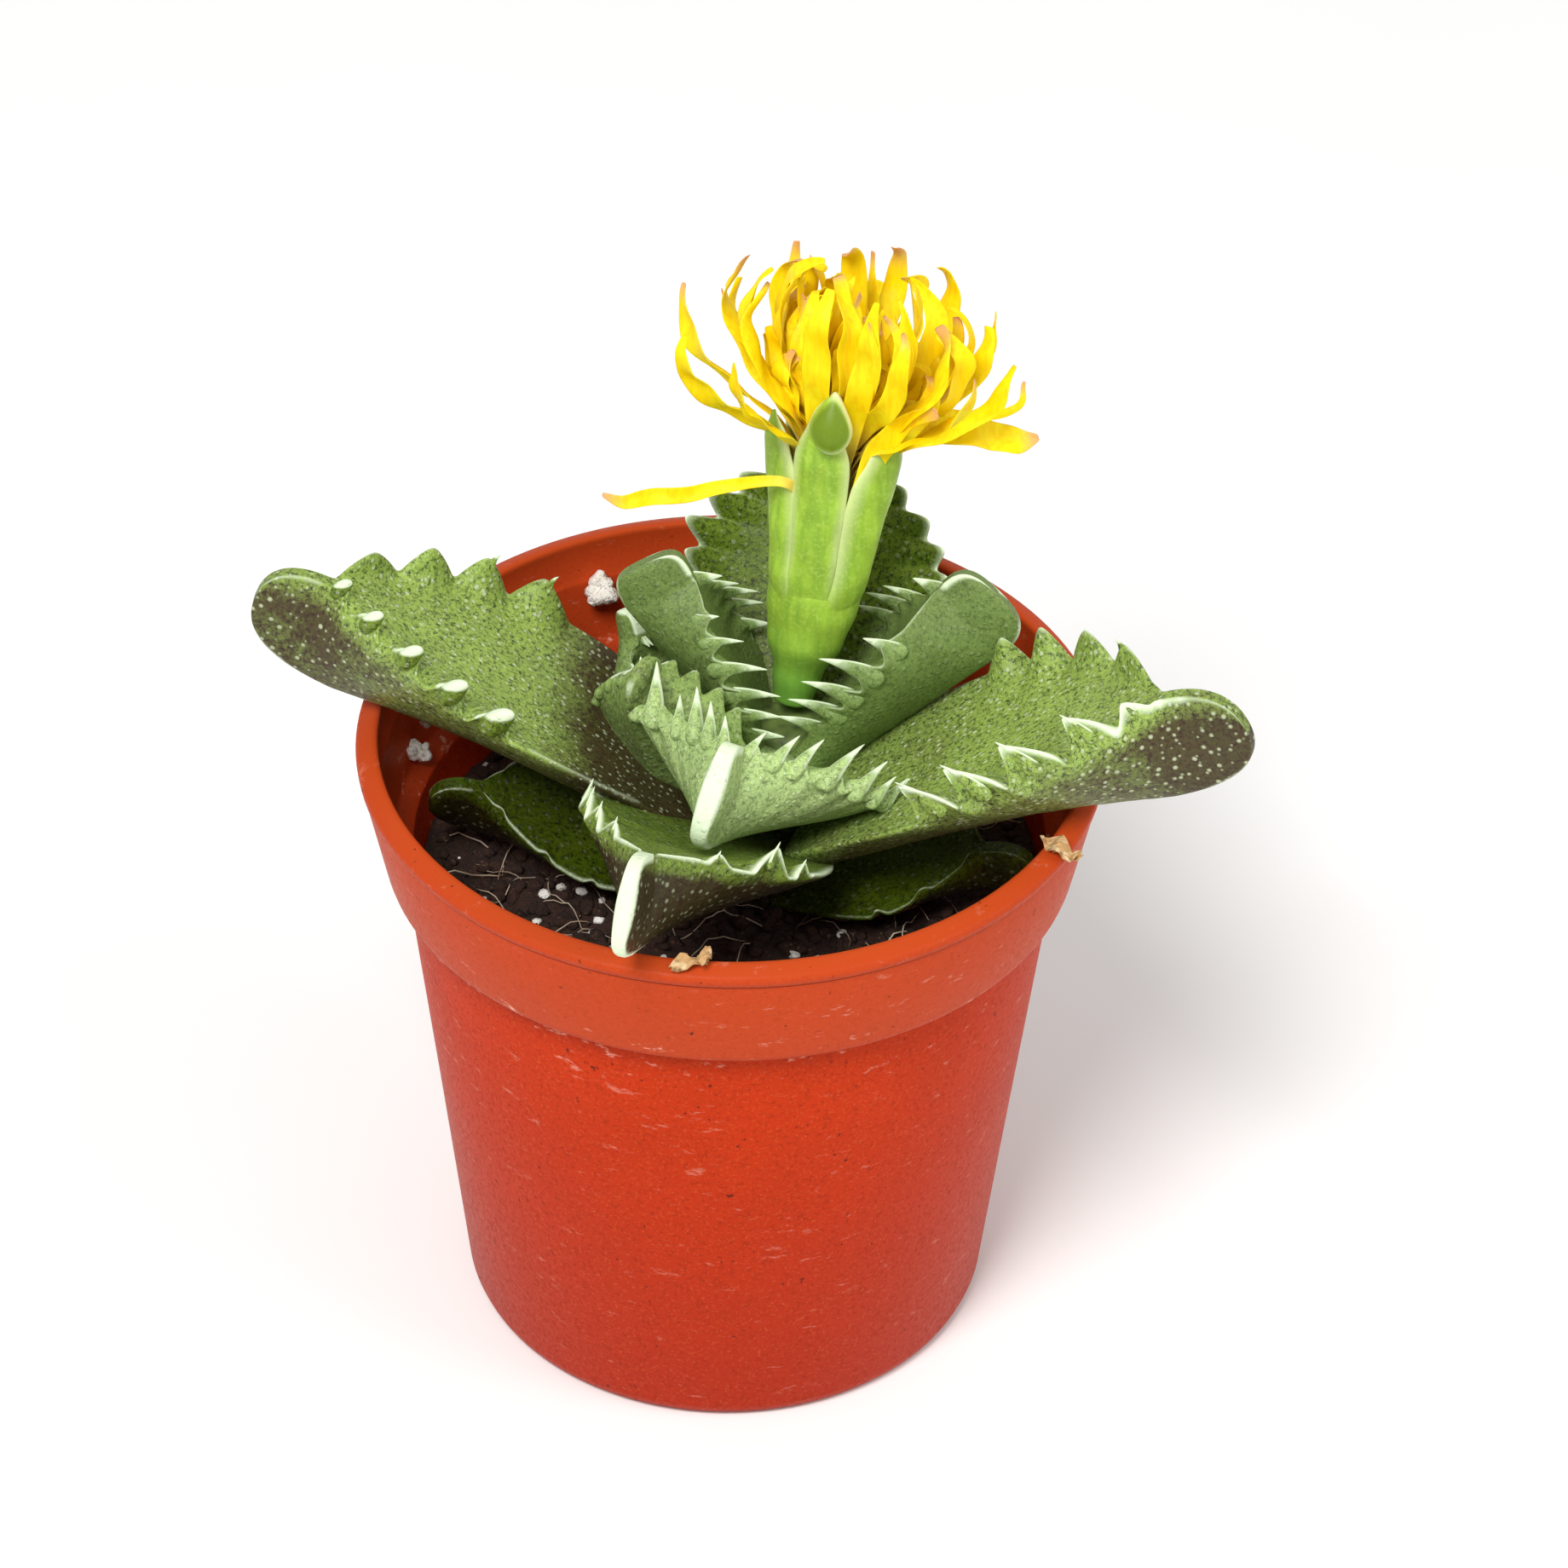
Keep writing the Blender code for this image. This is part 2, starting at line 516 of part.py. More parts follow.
def add_teeth(leaf, collection, grow=0.0):
    """Flat, backward-hooked teeth along each margin, roots sunk in the leaf."""
    spine = leaf_spine(leaf)
    for side, teeth in ((1, leaf["right"]), (-1, leaf["left"])):
        for k, (share, height) in enumerate(teeth):
            place, tangent, up, right = spine_at(spine, share)
            outward = right * side
            tall = height * MM + grow
            half = tooth_half_base(leaf, teeth, k) + grow
            thick = TOOTH_THICKNESS * 0.5 + grow
            root = place + outward * (leaf_half_width(leaf, share) - TOOTH_SINK) - up * TOOTH_SINK * 0.6
            splay = TOOTH_SPLAY + leaf.get("splay", 0.0) * tall
            hook = TOOTH_HOOK * tall
            rings = []
            for rise, size in ((0.0, 1.0), (0.6, 0.52 + 0.3 * leaf.get("blunt", 0.0))):
                centre = (root + up * (TOOTH_SINK * 0.6 + tall) * rise + outward * splay * rise
                          - tangent * hook * rise * rise)
                rings.append([centre + tangent * half * size, centre + outward * thick * size,
                              centre - tangent * half * size, centre - outward * thick * size])
            tip = root + up * (TOOTH_SINK * 0.6 + tall) + outward * splay - tangent * hook
            loft(f"tooth_{side}_{k}", rings, collection, tip=tip)


def build_leaf(leaf, guides, material):
    """A leaf with its teeth, cut back where the stem and the inner leaves lie."""
    item = leaf_body(leaf, leaf["name"])
    teeth = work_collection("teeth")
    add_teeth(leaf, teeth)
    boolean_with(item, teeth, "UNION", "MANIFOLD")
    cutters = work_collection("clearances")
    add_copies(guides.objects, cutters)
    boolean_with(item, cutters, "DIFFERENCE", "MANIFOLD")
    keep_largest(item)
    finish(item, material)
    clearance = leaf_body(leaf, leaf["name"] + "_clearance", GAP, guides)
    teeth = work_collection("teeth")
    add_teeth(leaf, teeth, GAP)
    boolean_with(clearance, teeth, "UNION", "MANIFOLD")


def flower_frame():
    """Directions across the flower axis: first to the right of the view, then towards it."""
    across = Vector((1.0, 0.0, 0.0))
    across = (across - FLOWER_AXIS * across.dot(FLOWER_AXIS)).normalized()
    return across, FLOWER_AXIS.cross(across)


def flower_point(radius, angle, height):
    across, away = flower_frame()
    direction = across * math.cos(angle) + away * math.sin(angle)
    sway = CUP_SWAY * max(0.0, height - TUBE_RINGS[-1][0] * MM)
    return FLOWER_BASE + direction * radius + FLOWER_AXIS * height + sway


def blade(name, path, widths, facing, collection):
    """A flat strap along a path, with its own width at each point, its face kept to one side."""
    rings = []
    for k, point in enumerate(path[:-1]):
        before = path[max(0, k - 1)]
        along = (path[k + 1] - before).normalized()
        out = (facing - along * facing.dot(along)).normalized()
        wide = along.cross(out) * widths[k] * 0.5
        thick = out * PETAL_THICKNESS * 0.5
        rings.append([point + wide, point + thick, point - wide, point - thick])
    return loft(name, rings, collection, tip=path[-1])


def tube_rings(grow):
    angles = np.linspace(0, 2 * math.pi, TUBE_SIDES, endpoint=False)
    return [[flower_point(radius * MM + grow, angle, height * MM) for angle in angles]
            for height, radius in TUBE_RINGS]


def add_sepals(collection, grow=0.0):
    """Five keeled sepals round the tube's mouth, the front one tallest and hooded."""
    for k in range(SEPALS):
        middle = math.radians(SEPAL_FIRST + 360 / SEPALS * k)
        length = SEPAL_LENGTH * (1.0 if k == 0 else SHORT_SEPAL)
        rows = []
        for share, radius, half_width in SEPAL_ROWS:
            height = SEPAL_ROOT + length * share
            inner = radius * MM + SEPAL_SPREAD * share * share * length / SEPAL_LENGTH - grow
            outer = inner + SEPAL_THICKNESS + 2 * grow
            half = math.radians(half_width) + grow / inner
            hood = 0.5 * MM if k == 0 and share > 0.6 else 0.0
            rows.append([flower_point(outer - 0.4 * MM, middle - half, height),
                         flower_point(outer + 0.3 * MM + hood, middle, height),
                         flower_point(outer - 0.4 * MM, middle + half, height),
                         flower_point(inner, middle + half * 0.8, height),
                         flower_point(inner + 0.1 * MM, middle, height),
                         flower_point(inner, middle - half * 0.8, height)])
        tip = flower_point(inner + 0.3 * MM, middle, SEPAL_ROOT + length + grow)
        loft(f"sepal_{k}", rows, collection, tip=tip)


def build_calyx(material):
    calyx = loft("flower_calyx", tube_rings(0.0))
    sepals = work_collection("sepals")
    add_sepals(sepals)
    boolean_with(calyx, sepals, "UNION", "MANIFOLD")
    keep_largest(calyx)
    finish(calyx, material)
    return calyx


def petal(name, angle, root, leans, length, width, turn, collection):
    """A narrow strap: it rises from the core, spreads over the sepals, then curls at its tip."""
    across, away = flower_frame()
    axis = (FLOWER_AXIS + CUP_SWAY).normalized()
    outward = across * math.cos(angle) + away * math.sin(angle)
    sideways = axis.cross(outward)
    place = flower_point(root[0], angle, root[1])
    path = [place]
    widths = []
    first, widest, last = leans
    for k, share in enumerate(PETAL_STATIONS[:-1]):
        middle = 0.5 * (share + PETAL_STATIONS[k + 1])
        rise = min(1.0, middle / SPREAD_SHARE)
        curl = max(0.0, (middle - SPREAD_SHARE) / (1 - SPREAD_SHARE)) ** CURL_POWER
        lean = first + (widest - first) * rise * rise * (3 - 2 * rise) + (last - widest) * curl
        lean = math.radians(lean)
        along = axis * math.cos(lean) + outward * math.sin(lean) + sideways * turn * middle
        place = place + along.normalized() * length * (PETAL_STATIONS[k + 1] - share)
        path.append(place)
        widths.append(width * (0.45 + 0.55 * math.sin(math.pi * share ** 1.3)))
    blade(name, path, widths, outward + sideways * turn, collection)


def single_petal(name, facing, widths, points, collection):
    """One petal that leaves the cup by itself, out through a gap between the others."""
    path = [flower_point(radius * MM, math.radians(angle), height * MM)
            for angle, radius, height in points]
    blade(name, path, [width * MM for width in widths], Vector(facing), collection)


def build_petals(material, draw):
    """Strap petals in three layers round a short core that stands in the calyx mouth."""
    base = TUBE_RINGS[-1][0] * MM + GAP
    angles = np.linspace(0, 2 * math.pi, CORE_SIDES, endpoint=False)
    outline = ((CORE_RADIUS, 0.0), (CORE_RADIUS, CORE_HEIGHT * 0.7), (CORE_RADIUS * 0.6, CORE_HEIGHT))
    core = loft("flower_petals", [[flower_point(radius, angle, base + height) for angle in angles]
                                  for radius, height in outline])
    straps = work_collection("straps")
    for row, (count, radius, height, first, widest, more, last, length, width) in enumerate(PETAL_LAYERS):
        for k in range(count):
            angle = 2 * math.pi * (k + 0.4 * row) / count + draw.uniform(-0.08, 0.08)
            aside = math.cos(angle)
            spread = widest + (more if aside > 0 else -LEFT_LEAN) * aside + draw.uniform(-7, 7)
            if math.cos(angle - math.radians(SEPAL_FIRST)) > math.cos(math.radians(HOOD_ARC)):
                spread = min(spread, HOOD_LEAN)
            petal(f"petal_{row}_{k}", angle, (radius * MM, base + height * MM),
                  (first, spread, last + draw.uniform(-16, 16)),
                  length * MM * draw.uniform(0.9, 1.05), width * MM * draw.uniform(0.85, 1.1),
                  draw.uniform(-PETAL_TURN, PETAL_TURN), straps)
    for name, facing, widths, points in SINGLE_PETALS:
        single_petal(name, facing, widths, points, straps)
    boolean_with(core, straps, "UNION", "MANIFOLD")
    clearance = work_collection("calyx_clearance")
    add_sepals(clearance, GAP)
    boolean_with(core, clearance, "DIFFERENCE", "MANIFOLD")
    keep_largest(core)
    finish(core, material)
    return core


def main():
    clear_scene()
    draw = random.Random(SEED)
    materials = {name: make_material(name, color, roughness)
                 for name, (color, roughness) in SURFACES.items()}
    build_pot(materials["pot"])
    build_stem(materials["stem"])
    build_calyx(materials["calyx"])
    build_petals(materials["petal"], draw)
    guides = work_collection("guides")
    loft("stem_clearance", [stem_ring(share, GAP) for share in (0.0, 1.0)], guides)
    loft("tube_clearance", tube_rings(GAP), guides)
    for leaf in LEAVES:
        lying = leaf["name"].startswith(LYING_LEAVES)
        build_leaf(leaf, guides, materials["leaf_dark" if lying else "leaf"])
    build_soil(guides, materials["soil"])
    for guide in list(guides.objects):
        bpy.data.objects.remove(guide, do_unlink=True)


main()
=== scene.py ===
"""Looks for a potted tiger jaws plant: toothed fleshy leaves, one yellow bloom, a plastic pot.

Laid out as an add-on: settings, one operator per piece or group of like pieces, one panel.
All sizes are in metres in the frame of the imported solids, +Z up, the view side is -Y.
"""

import math
import random
from functools import partial

import bmesh
import bpy
from bpy.props import FloatProperty, FloatVectorProperty, IntProperty, PointerProperty
from mathutils import Matrix, Vector, noise


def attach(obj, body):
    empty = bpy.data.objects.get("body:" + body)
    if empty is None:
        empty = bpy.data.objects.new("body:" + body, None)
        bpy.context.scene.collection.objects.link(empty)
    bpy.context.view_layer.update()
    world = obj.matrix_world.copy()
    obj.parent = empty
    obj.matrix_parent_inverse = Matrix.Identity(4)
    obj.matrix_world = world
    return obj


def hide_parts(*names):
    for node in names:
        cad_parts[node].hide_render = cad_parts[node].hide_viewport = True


bl_info = {
    "name": "Potted Tiger Jaws",
    "version": (1, 0, 0),
    "blender": (4, 5, 0),
    "location": "View3D > Sidebar > Tiger Jaws",
    "description": "Builds a potted tiger jaws plant with one yellow bloom",
    "category": "Object",
}

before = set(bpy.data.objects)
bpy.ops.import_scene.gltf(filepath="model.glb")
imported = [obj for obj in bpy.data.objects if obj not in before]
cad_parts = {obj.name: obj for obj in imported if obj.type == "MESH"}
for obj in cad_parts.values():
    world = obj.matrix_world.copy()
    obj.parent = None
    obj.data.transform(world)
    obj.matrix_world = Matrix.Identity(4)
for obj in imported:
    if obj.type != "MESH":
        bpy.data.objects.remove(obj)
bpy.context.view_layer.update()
ROOT = "root"
MM = 0.001
SEED = 7


def linear(code):
    """A colour written as an sRGB hex code, turned to linear red, green and blue."""
    parts = [int(code[k:k + 2], 16) / 255 for k in (1, 3, 5)]
    return tuple(part / 12.92 if part <= 0.04045 else ((part + 0.055) / 1.055) ** 2.4
                 for part in parts)


# Settings that a user would change.


def color_setting(name, description, code):
    """A colour that a user may change, its default given as a hex code."""
    return FloatVectorProperty(name=name, description=description, default=linear(code),
                               subtype="COLOR", min=0.0, max=1.0)


def length_setting(name, description, default, low, high):
    """A length that a user may change, given with its limits in mm."""
    return FloatProperty(name=name, description=description, default=default * MM,
                         min=low * MM, max=high * MM, unit="LENGTH")


def scale_setting(name, description, low, high):
    """A factor that a user may change, 1 at first."""
    return FloatProperty(name=name, description=description, default=1.0, min=low, max=high)


def count_setting(name, description, default, high):
    """A number of things that a user may change."""
    return IntProperty(name=name, description=description, default=default, min=0, max=high)


class PotSettings(bpy.types.PropertyGroup):
    """Sizes and colours of the plastic pot."""

    rim_radius: length_setting("Rim radius", "Outer radius at the rim", 32.5, 20, 80)
    rim_height: length_setting("Rim height", "Height of the rim's outer edge", 59.3, 30, 120)
    wall: length_setting("Wall", "Thickness of the moulded wall", 1.0, 0.4, 3)
    color: color_setting("Plastic", "Colour of the terracotta-coloured plastic", "#BA320A")
    scuff: color_setting("Scuffs", "Colour of rubbed marks and lime on the plastic", "#E3A48F")


class LeafSettings(bpy.types.PropertyGroup):
    """Sizes and colours of the leaves and their teeth."""

    tooth_scale: scale_setting("Tooth length", "Scale of all marginal teeth", 0.3, 1.6)
    dot_spacing: length_setting("Dot spacing", "Distance between the pale dots", 0.72, 0.4, 3)
    green: color_setting("Green", "Upper face of grown leaves", "#8CA54C")
    young: color_setting("Young green", "Leaves at the middle of the crown", "#90A86A")
    purple: color_setting("Flush", "Sunburnt sides and tips", "#36171A")
    pale: color_setting("Margin", "Teeth, margins and keels", "#DCEBC9")


class FlowerSettings(bpy.types.PropertyGroup):
    """Sizes and colours of the bloom."""

    petal_width: scale_setting("Petal width", "Scale of the petals' width", 0.5, 1.5)
    petal: color_setting("Petal", "Fresh petals", "#FFDC00")
    dried: color_setting("Dried tip", "Withered petal tips", "#D9A06A")
    sepal: color_setting("Sepal", "Flower tube and sepals", "#9CBF3F")


class SoilSettings(bpy.types.PropertyGroup):
    """Amounts and colours of the compost."""

    crumbs: count_setting("Crumbs", "Loose crumbs on the compost", 1500, 2000)
    fibres: count_setting("Fibres", "Fine dry root fibres", 120, 300)
    peat: color_setting("Peat", "Moist peat", "#28130A")
    grit: color_setting("Grit", "Perlite and lime grit", "#EFEBE0")


class StageSettings(bpy.types.PropertyGroup):
    """Floor and light."""

    floor: color_setting("Floor", "Plain pale floor", "#F6F6F4")
    key_power: FloatProperty(name="Key light", description="Power of the large soft light",
                             default=9.0, min=0.0, max=100.0, unit="POWER")


# Small helpers.


def set_sockets(tree, node, inputs):
    """Sets a node's sockets, or links those whose value is another node's socket. A colour may
    be a hex code."""
    for name, value in inputs.items():
        socket = node.inputs[name]
        if isinstance(value, bpy.types.NodeSocket):
            tree.links.new(value, socket)
        else:
            value = linear(value) if isinstance(value, str) else value
            socket.default_value = (*value, 1.0) if socket.type == "RGBA" else value


def add_node(tree, kind, inputs, output=0, stops=(), **options):
    """Adds a shader node with its options, sockets and colour stops; gives one of its outputs."""
    node = tree.nodes.new("ShaderNode" + kind)
    for name, value in options.items():
        setattr(node, name, value)
    set_sockets(tree, node, inputs)
    for k, (position, color) in enumerate(stops):
        elements = node.color_ramp.elements
        element = elements[k] if k < len(elements) else elements.new(position)
        element.position = position
        element.color = (*color, 1.0)
    return node.outputs[output]


def new_material(name):
    """A material, the calls that add a node to it and that set its shader's sockets, and the
    place on the object, which patterns start from."""
    material = bpy.data.materials.new(name)
    material.use_nodes = True
    tree = material.node_tree
    node = partial(add_node, tree)
    shader = partial(set_sockets, tree, tree.nodes["Principled BSDF"])
    return material, node, shader, node("TexCoord", {}, "Object")


def patches(node, place, size, low, high, most=1.0, detail=3.0, rough=0.5):
    """Where a coat shows, and how much of it: lumps of a real size that fade in from low to
    high."""
    lumps = node("TexNoise", {"Vector": place, "Scale": 1 / size, "Detail": detail,
                              "Roughness": rough}, "Fac")
    return node("MapRange", {"Value": lumps, "From Min": low, "From Max": high, "To Max": most})


def coated(node, place, color, coats):
    """A colour with coats laid over it, each by its share from 0 to 1, or by the patches that
    a tuple describes."""
    for share, coat in coats:
        if isinstance(share, tuple):
            share = patches(node, place, *share)
        color = node("Mix", {0: share, 6: color, 7: coat}, 2, data_type="RGBA")
    return color


def dull_material(name, color, coats, roughness, relief=None):
    """A material without gloss: coats over a colour, and a relief given as its patches, how
    high they stand and how strongly they show."""
    material, node, shader, place = new_material(name)
    shader({"Base Color": coated(node, place, color, coats), "Roughness": roughness})
    if relief:
        lumps, distance, strength = relief
        shader({"Normal": node("Bump", {"Height": patches(node, place, *lumps),
                                        "Distance": distance, "Strength": strength})})
    return material


def new_mesh(*names):
    """An empty mesh to work on, and the layers of the values that its points carry."""
    work = bmesh.new()
    return work, [work.verts.layers.float.new(name) for name in names]


def polar(radius, angle):
    """The x and y of a place round the pot's axis."""
    return radius * math.cos(angle), radius * math.sin(angle)


def shaped_grid(work, columns, rows, place, layers=()):
    """A flat grid whose points are moved to where place(column, row) puts them."""
    made = bmesh.ops.create_grid(work, x_segments=columns, y_segments=rows, size=0.5)
    for vert in made["verts"]:
        column = round((vert.co.x + 0.5) * columns)
        row = round((vert.co.y + 0.5) * rows)
        point, values = place(column, row)
        vert.co = point
        for layer, value in zip(layers, values):
            vert[layer] = value


def close_up(work, merge=2e-8):
    """Merges seams and poles, caps open ends and turns all faces outward."""
    bmesh.ops.remove_doubles(work, verts=work.verts, dist=merge)
    bmesh.ops.holes_fill(work, edges=[edge for edge in work.edges if edge.is_boundary], sides=0)
    bmesh.ops.recalc_face_normals(work, faces=work.faces)


def add_piece(work, name, material, levels=0):
    """Turns the mesh into a smooth object that rides on the plant's only body."""
    mesh = bpy.data.meshes.new(name)
    work.to_mesh(mesh)
    work.free()
    item = bpy.data.objects.new(name, mesh)
    bpy.context.scene.collection.objects.link(item)
    mesh.shade_smooth()
    mesh.materials.append(material)
    if levels:
        subdivision = item.modifiers.new("Smooth", "SUBSURF")
        subdivision.levels = levels
        subdivision.render_levels = levels
    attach(item, ROOT)
    return item


# Pot.

# Radius and height, in mm, of the point under the collar, and the height of the ledge in it.
COLLAR_FOOT = (30.4, 48.4)
COLLAR_LEDGE = 55.5
# Radii of the tapering body at the collar and at the foot, in mm.
BODY_TOP = 28.7
BODY_FOOT = 23.4
RIM_WIDTH = 1.95
RIM_CROWN = 0.5
# The lip stands out over the collar; a band of painted shadow darkens the crease under it.
LIP_HEIGHT = 0.95 * MM
LIP_STEP = 0.16
CREASE_HALF = 0.12 * MM
POT_FLOOR = 1.4
POT_STEPS = 144


def body_radius(height):
    """Outer radius of the pot's body at a height, both in mm."""
    return BODY_FOOT + (BODY_TOP - BODY_FOOT) * height / COLLAR_FOOT[1]


def pot_material(settings):
    """Injection moulded polypropylene: satin, slightly mottled, rubbed pale along the step.
    Painted shade darkens it towards the bottom and in the crease under the lip, and painted
    light makes the collar and the rim lighter.
    """
    material, node, shader, place = new_material("moulded_terracotta_polypropylene")
    base = settings.color
    height = node("SeparateXYZ", {"Vector": place}, "Z")
    # Painted shade darkens the pot towards the bottom; painted light makes the collar and the
    # rim's top lighter orange.
    painted_shade_low, painted_light_collar, painted_light_rim = (
        node("MapRange", {"Value": height, "From Min": start * MM, "From Max": full * MM,
                          "To Max": most})
        for start, full, most in ((45, 0, 0.75), (47.5, 49, 0.5), (58.9, 59.6, 1.0)))
    # Painted shadow: a dark band in the crease under the lip, only on the outside.
    flat = node("VectorMath", {0: place, 1: (1.0, 1.0, 0.0)}, operation="MULTIPLY")
    from_axis = node("VectorMath", {0: flat}, "Value", operation="LENGTH")
    outside = node("Math", {0: from_axis, 1: settings.rim_radius - 1.0 * MM},
                   operation="GREATER_THAN")
    crease_height = settings.rim_height - LIP_HEIGHT - CREASE_HALF
    painted_crease_shadow = node("Math", {0: height, 1: crease_height, 2: CREASE_HALF}, operation="COMPARE")
    painted_crease_shadow = node("Math", {0: painted_crease_shadow, 1: outside}, operation="MULTIPLY")
    # Scuffs are short thin scratches, thickest on the step.
    stretched = node("Mapping", {"Vector": place, "Rotation": (0.3, 0.5, 0.2),
                                 "Scale": (0.4, 0.4, 1.0)})
    height_share = node("Math", {0: height, 1: 60 * MM}, operation="DIVIDE")
    wear = node("ValToRGB", {"Fac": height_share}, stops=[
        (share, (grey,) * 3)
        for share, grey in ((0.05, 0.25), (0.7, 0.3), (0.8, 1.0), (0.86, 0.5), (0.98, 0.2))])
    scratches = patches(node, stretched, 1.3 * MM, 0.61, 0.69, 1.0, 5, 0.75)
    scuffs = node("Math", {0: scratches, 1: wear}, operation="MULTIPLY")
    grain = patches(node, place, 0.45 * MM, 0.3, 0.7, 1.0, 2, 0.7)
    shader({
        "Base Color": coated(node, place, base, [
            ((9 * MM, 0.4, 0.68, 0.5, 4, 0.6), [value * 0.84 for value in base]),
            # Painted shade low down, then painted light on the collar and the rim.
            (painted_shade_low, "#A32200"),
            ((0.45 * MM, 0.52, 0.68, 0.5, 2, 0.7), [value * 0.5 for value in base]),
            ((0.3 * MM, 0.55, 0.7, 0.22, 2, 0.7), "#D9703A"),
            (painted_light_collar, "#B84A22"),
            (painted_light_rim, "#B8441A"),
            # Painted shadow in the crease under the lip.
            (painted_crease_shadow, "#8A2608"),
            (scuffs, settings.scuff),
            ((0.9 * MM, 0.71, 0.75, 0.7, 2, 0.6), "#2A1812")]),
        "Specular IOR Level": 0.08,
        "Roughness": node("MapRange", {"Value": grain, "To Min": 0.36, "To Max": 0.52}),
        "Normal": node("Bump", {"Height": grain, "Distance": 0.02 * MM, "Strength": 0.35})})
    return material


class TIGERJAWS_OT_pot(bpy.types.Operator):
    """Spins the pot: collar, step, tapering body, rounded foot and thin wall"""

    bl_idname = "tigerjaws.pot"
    bl_label = "Pot"

    def execute(self, context):
        settings = context.scene.tiger_jaws_pot
        wall, rim, top = (value / MM for value in
                          (settings.wall, settings.rim_radius, settings.rim_height))
        inner, foot, lip = rim - RIM_WIDTH, BODY_FOOT, top - LIP_HEIGHT / MM
        collar, step = COLLAR_FOOT
        # Radius and height of the profile's points in mm: foot, body, collar, lip, rim, inside.
        profile = [
            (0.0, 0.35), (foot - 5.2, 0.35), (foot - 4.6, 0.0), (foot - 1.5, 0.0),
            (foot - 0.7, 0.16), (foot - 0.2, 0.6), (body_radius(1.4), 1.5), (body_radius(24), 24),
            (BODY_TOP, step - 0.7), (BODY_TOP - 0.12, step - 0.3), (collar - 0.5, step - 0.1),
            (collar - 0.12, step + 0.05), (collar, step + 0.45),
            (rim - LIP_STEP - 0.06, lip - 0.3), (rim - 1.6 * LIP_STEP, lip - 0.08),
            (rim - 0.06, lip), (rim, top - 0.45), (rim - 0.1, top - 0.1),
            (rim - 0.35, top + 0.06), (inner + 0.6, top + RIM_CROWN - 0.06),
            (inner + 0.25, top + RIM_CROWN), (inner + 0.03, top + RIM_CROWN - 0.18),
            (inner, top + RIM_CROWN - 0.5), (inner, COLLAR_LEDGE + 0.1),
            (inner - 0.22, COLLAR_LEDGE - 0.05), (inner - 0.3, COLLAR_LEDGE - 0.4),
            (collar - wall, step + 1.2), (collar - wall - 0.3, step + 0.7),
            (BODY_TOP - wall + 0.05, step + 0.2), (BODY_TOP - wall - 0.05, step - 0.3),
            (body_radius(POT_FLOOR) - wall, POT_FLOOR + 0.6),
            (body_radius(POT_FLOOR) - wall - 0.6, POT_FLOOR), (0.0, POT_FLOOR),
        ]
        work = bmesh.new()
        verts = [work.verts.new((radius * MM, 0.0, height * MM)) for radius, height in profile]
        edges = [work.edges.new(pair) for pair in zip(verts, verts[1:])]
        bmesh.ops.spin(work, geom=verts + edges, cent=(0, 0, 0), axis=(0, 0, 1), angle=math.tau,
                       steps=POT_STEPS, use_merge=True)
        close_up(work)
        pot = add_piece(work, "pot_moulding", pot_material(settings))
        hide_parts("pot")
        return {"FINISHED"}


# Compost.

SOIL_HEIGHT = 45.0 * MM
SOIL_ROUGHNESS = 0.5 * MM
SOIL_MOUND = 0.8 * MM
# The compost's grid: steps round the pot and from its middle to the wall.
SOIL_STEPS = (140, 44)
# The compost stays this much inside the pot's outer face, in mm.
SOIL_INSET = 1.3
# Loose perlite grains on the compost, most of them at the front.
GRIT_GRAINS = 110
# Points of a fibre, and the way between them.
FIBRE_POINTS = 9
FIBRE_STEP = 0.75 * MM


def soil_height(x, y):
    """Height of the compost: waves, a mound round the stem and crumbly roughness."""
    bumps = math.sin(x * 610 + 1.0) * math.cos(y * 540) + 0.6 * math.sin(x * 1130 + y * 870)
    near = math.hypot(x - 4 * MM, y - 3 * MM) / (14 * MM)
    rough = noise.turbulence(Vector((x, y, 0)) / (2.6 * MM), 3, False)
    return (SOIL_HEIGHT + SOIL_ROUGHNESS * 0.5 * bumps + SOIL_MOUND * math.exp(-near * near)
            + (rough - 0.6) * 0.9 * MM)


def soil_reach(height):
    """Radius of the compost at a height, both in metres."""
    return (body_radius(height / MM) - SOIL_INSET) * MM


def scattered(draw, reach):
    """A random place on the compost, as likely anywhere within reach of the pot's axis."""
    radius = reach * math.sqrt(draw.random())
    return polar(radius, draw.uniform(0, math.tau))


def peat_material(settings):
    """Moist peat: nearly black brown, fibrous, with paler flecks."""
    lumps = (1.6 * MM, 0.3, 0.8, 1.0, 5, 0.7)
    return dull_material("moist_peat_compost", [value * 0.25 for value in settings.peat],
                         [(lumps, "#4E2C17"), (0.35, settings.peat),
                          ((0.5 * MM, 0.62, 0.7, 0.6, 3, 0.7), "#8A6E58")],
                         0.85, (lumps, 0.6 * MM, 0.9))


def fibre_material():
    """Dry root fibres: bleached tan."""
    return dull_material("dry_root_fibre", "#7C5E48", [((3 * MM, 0.3, 0.7), "#D8C7AE")], 0.7)


def grit_material(settings):
    """Perlite and lime grit: porous, chalky, stained at its base."""
    return dull_material("perlite_grit", "#A08872",
                         [((1.1 * MM, 0.32, 0.45, 1.0, 4), settings.grit),
                          ((0.7 * MM, 0.45, 0.7), "#F6F3EC")],
                         0.8, ((0.4 * MM, 0.3, 0.7), 0.2 * MM, 0.8))


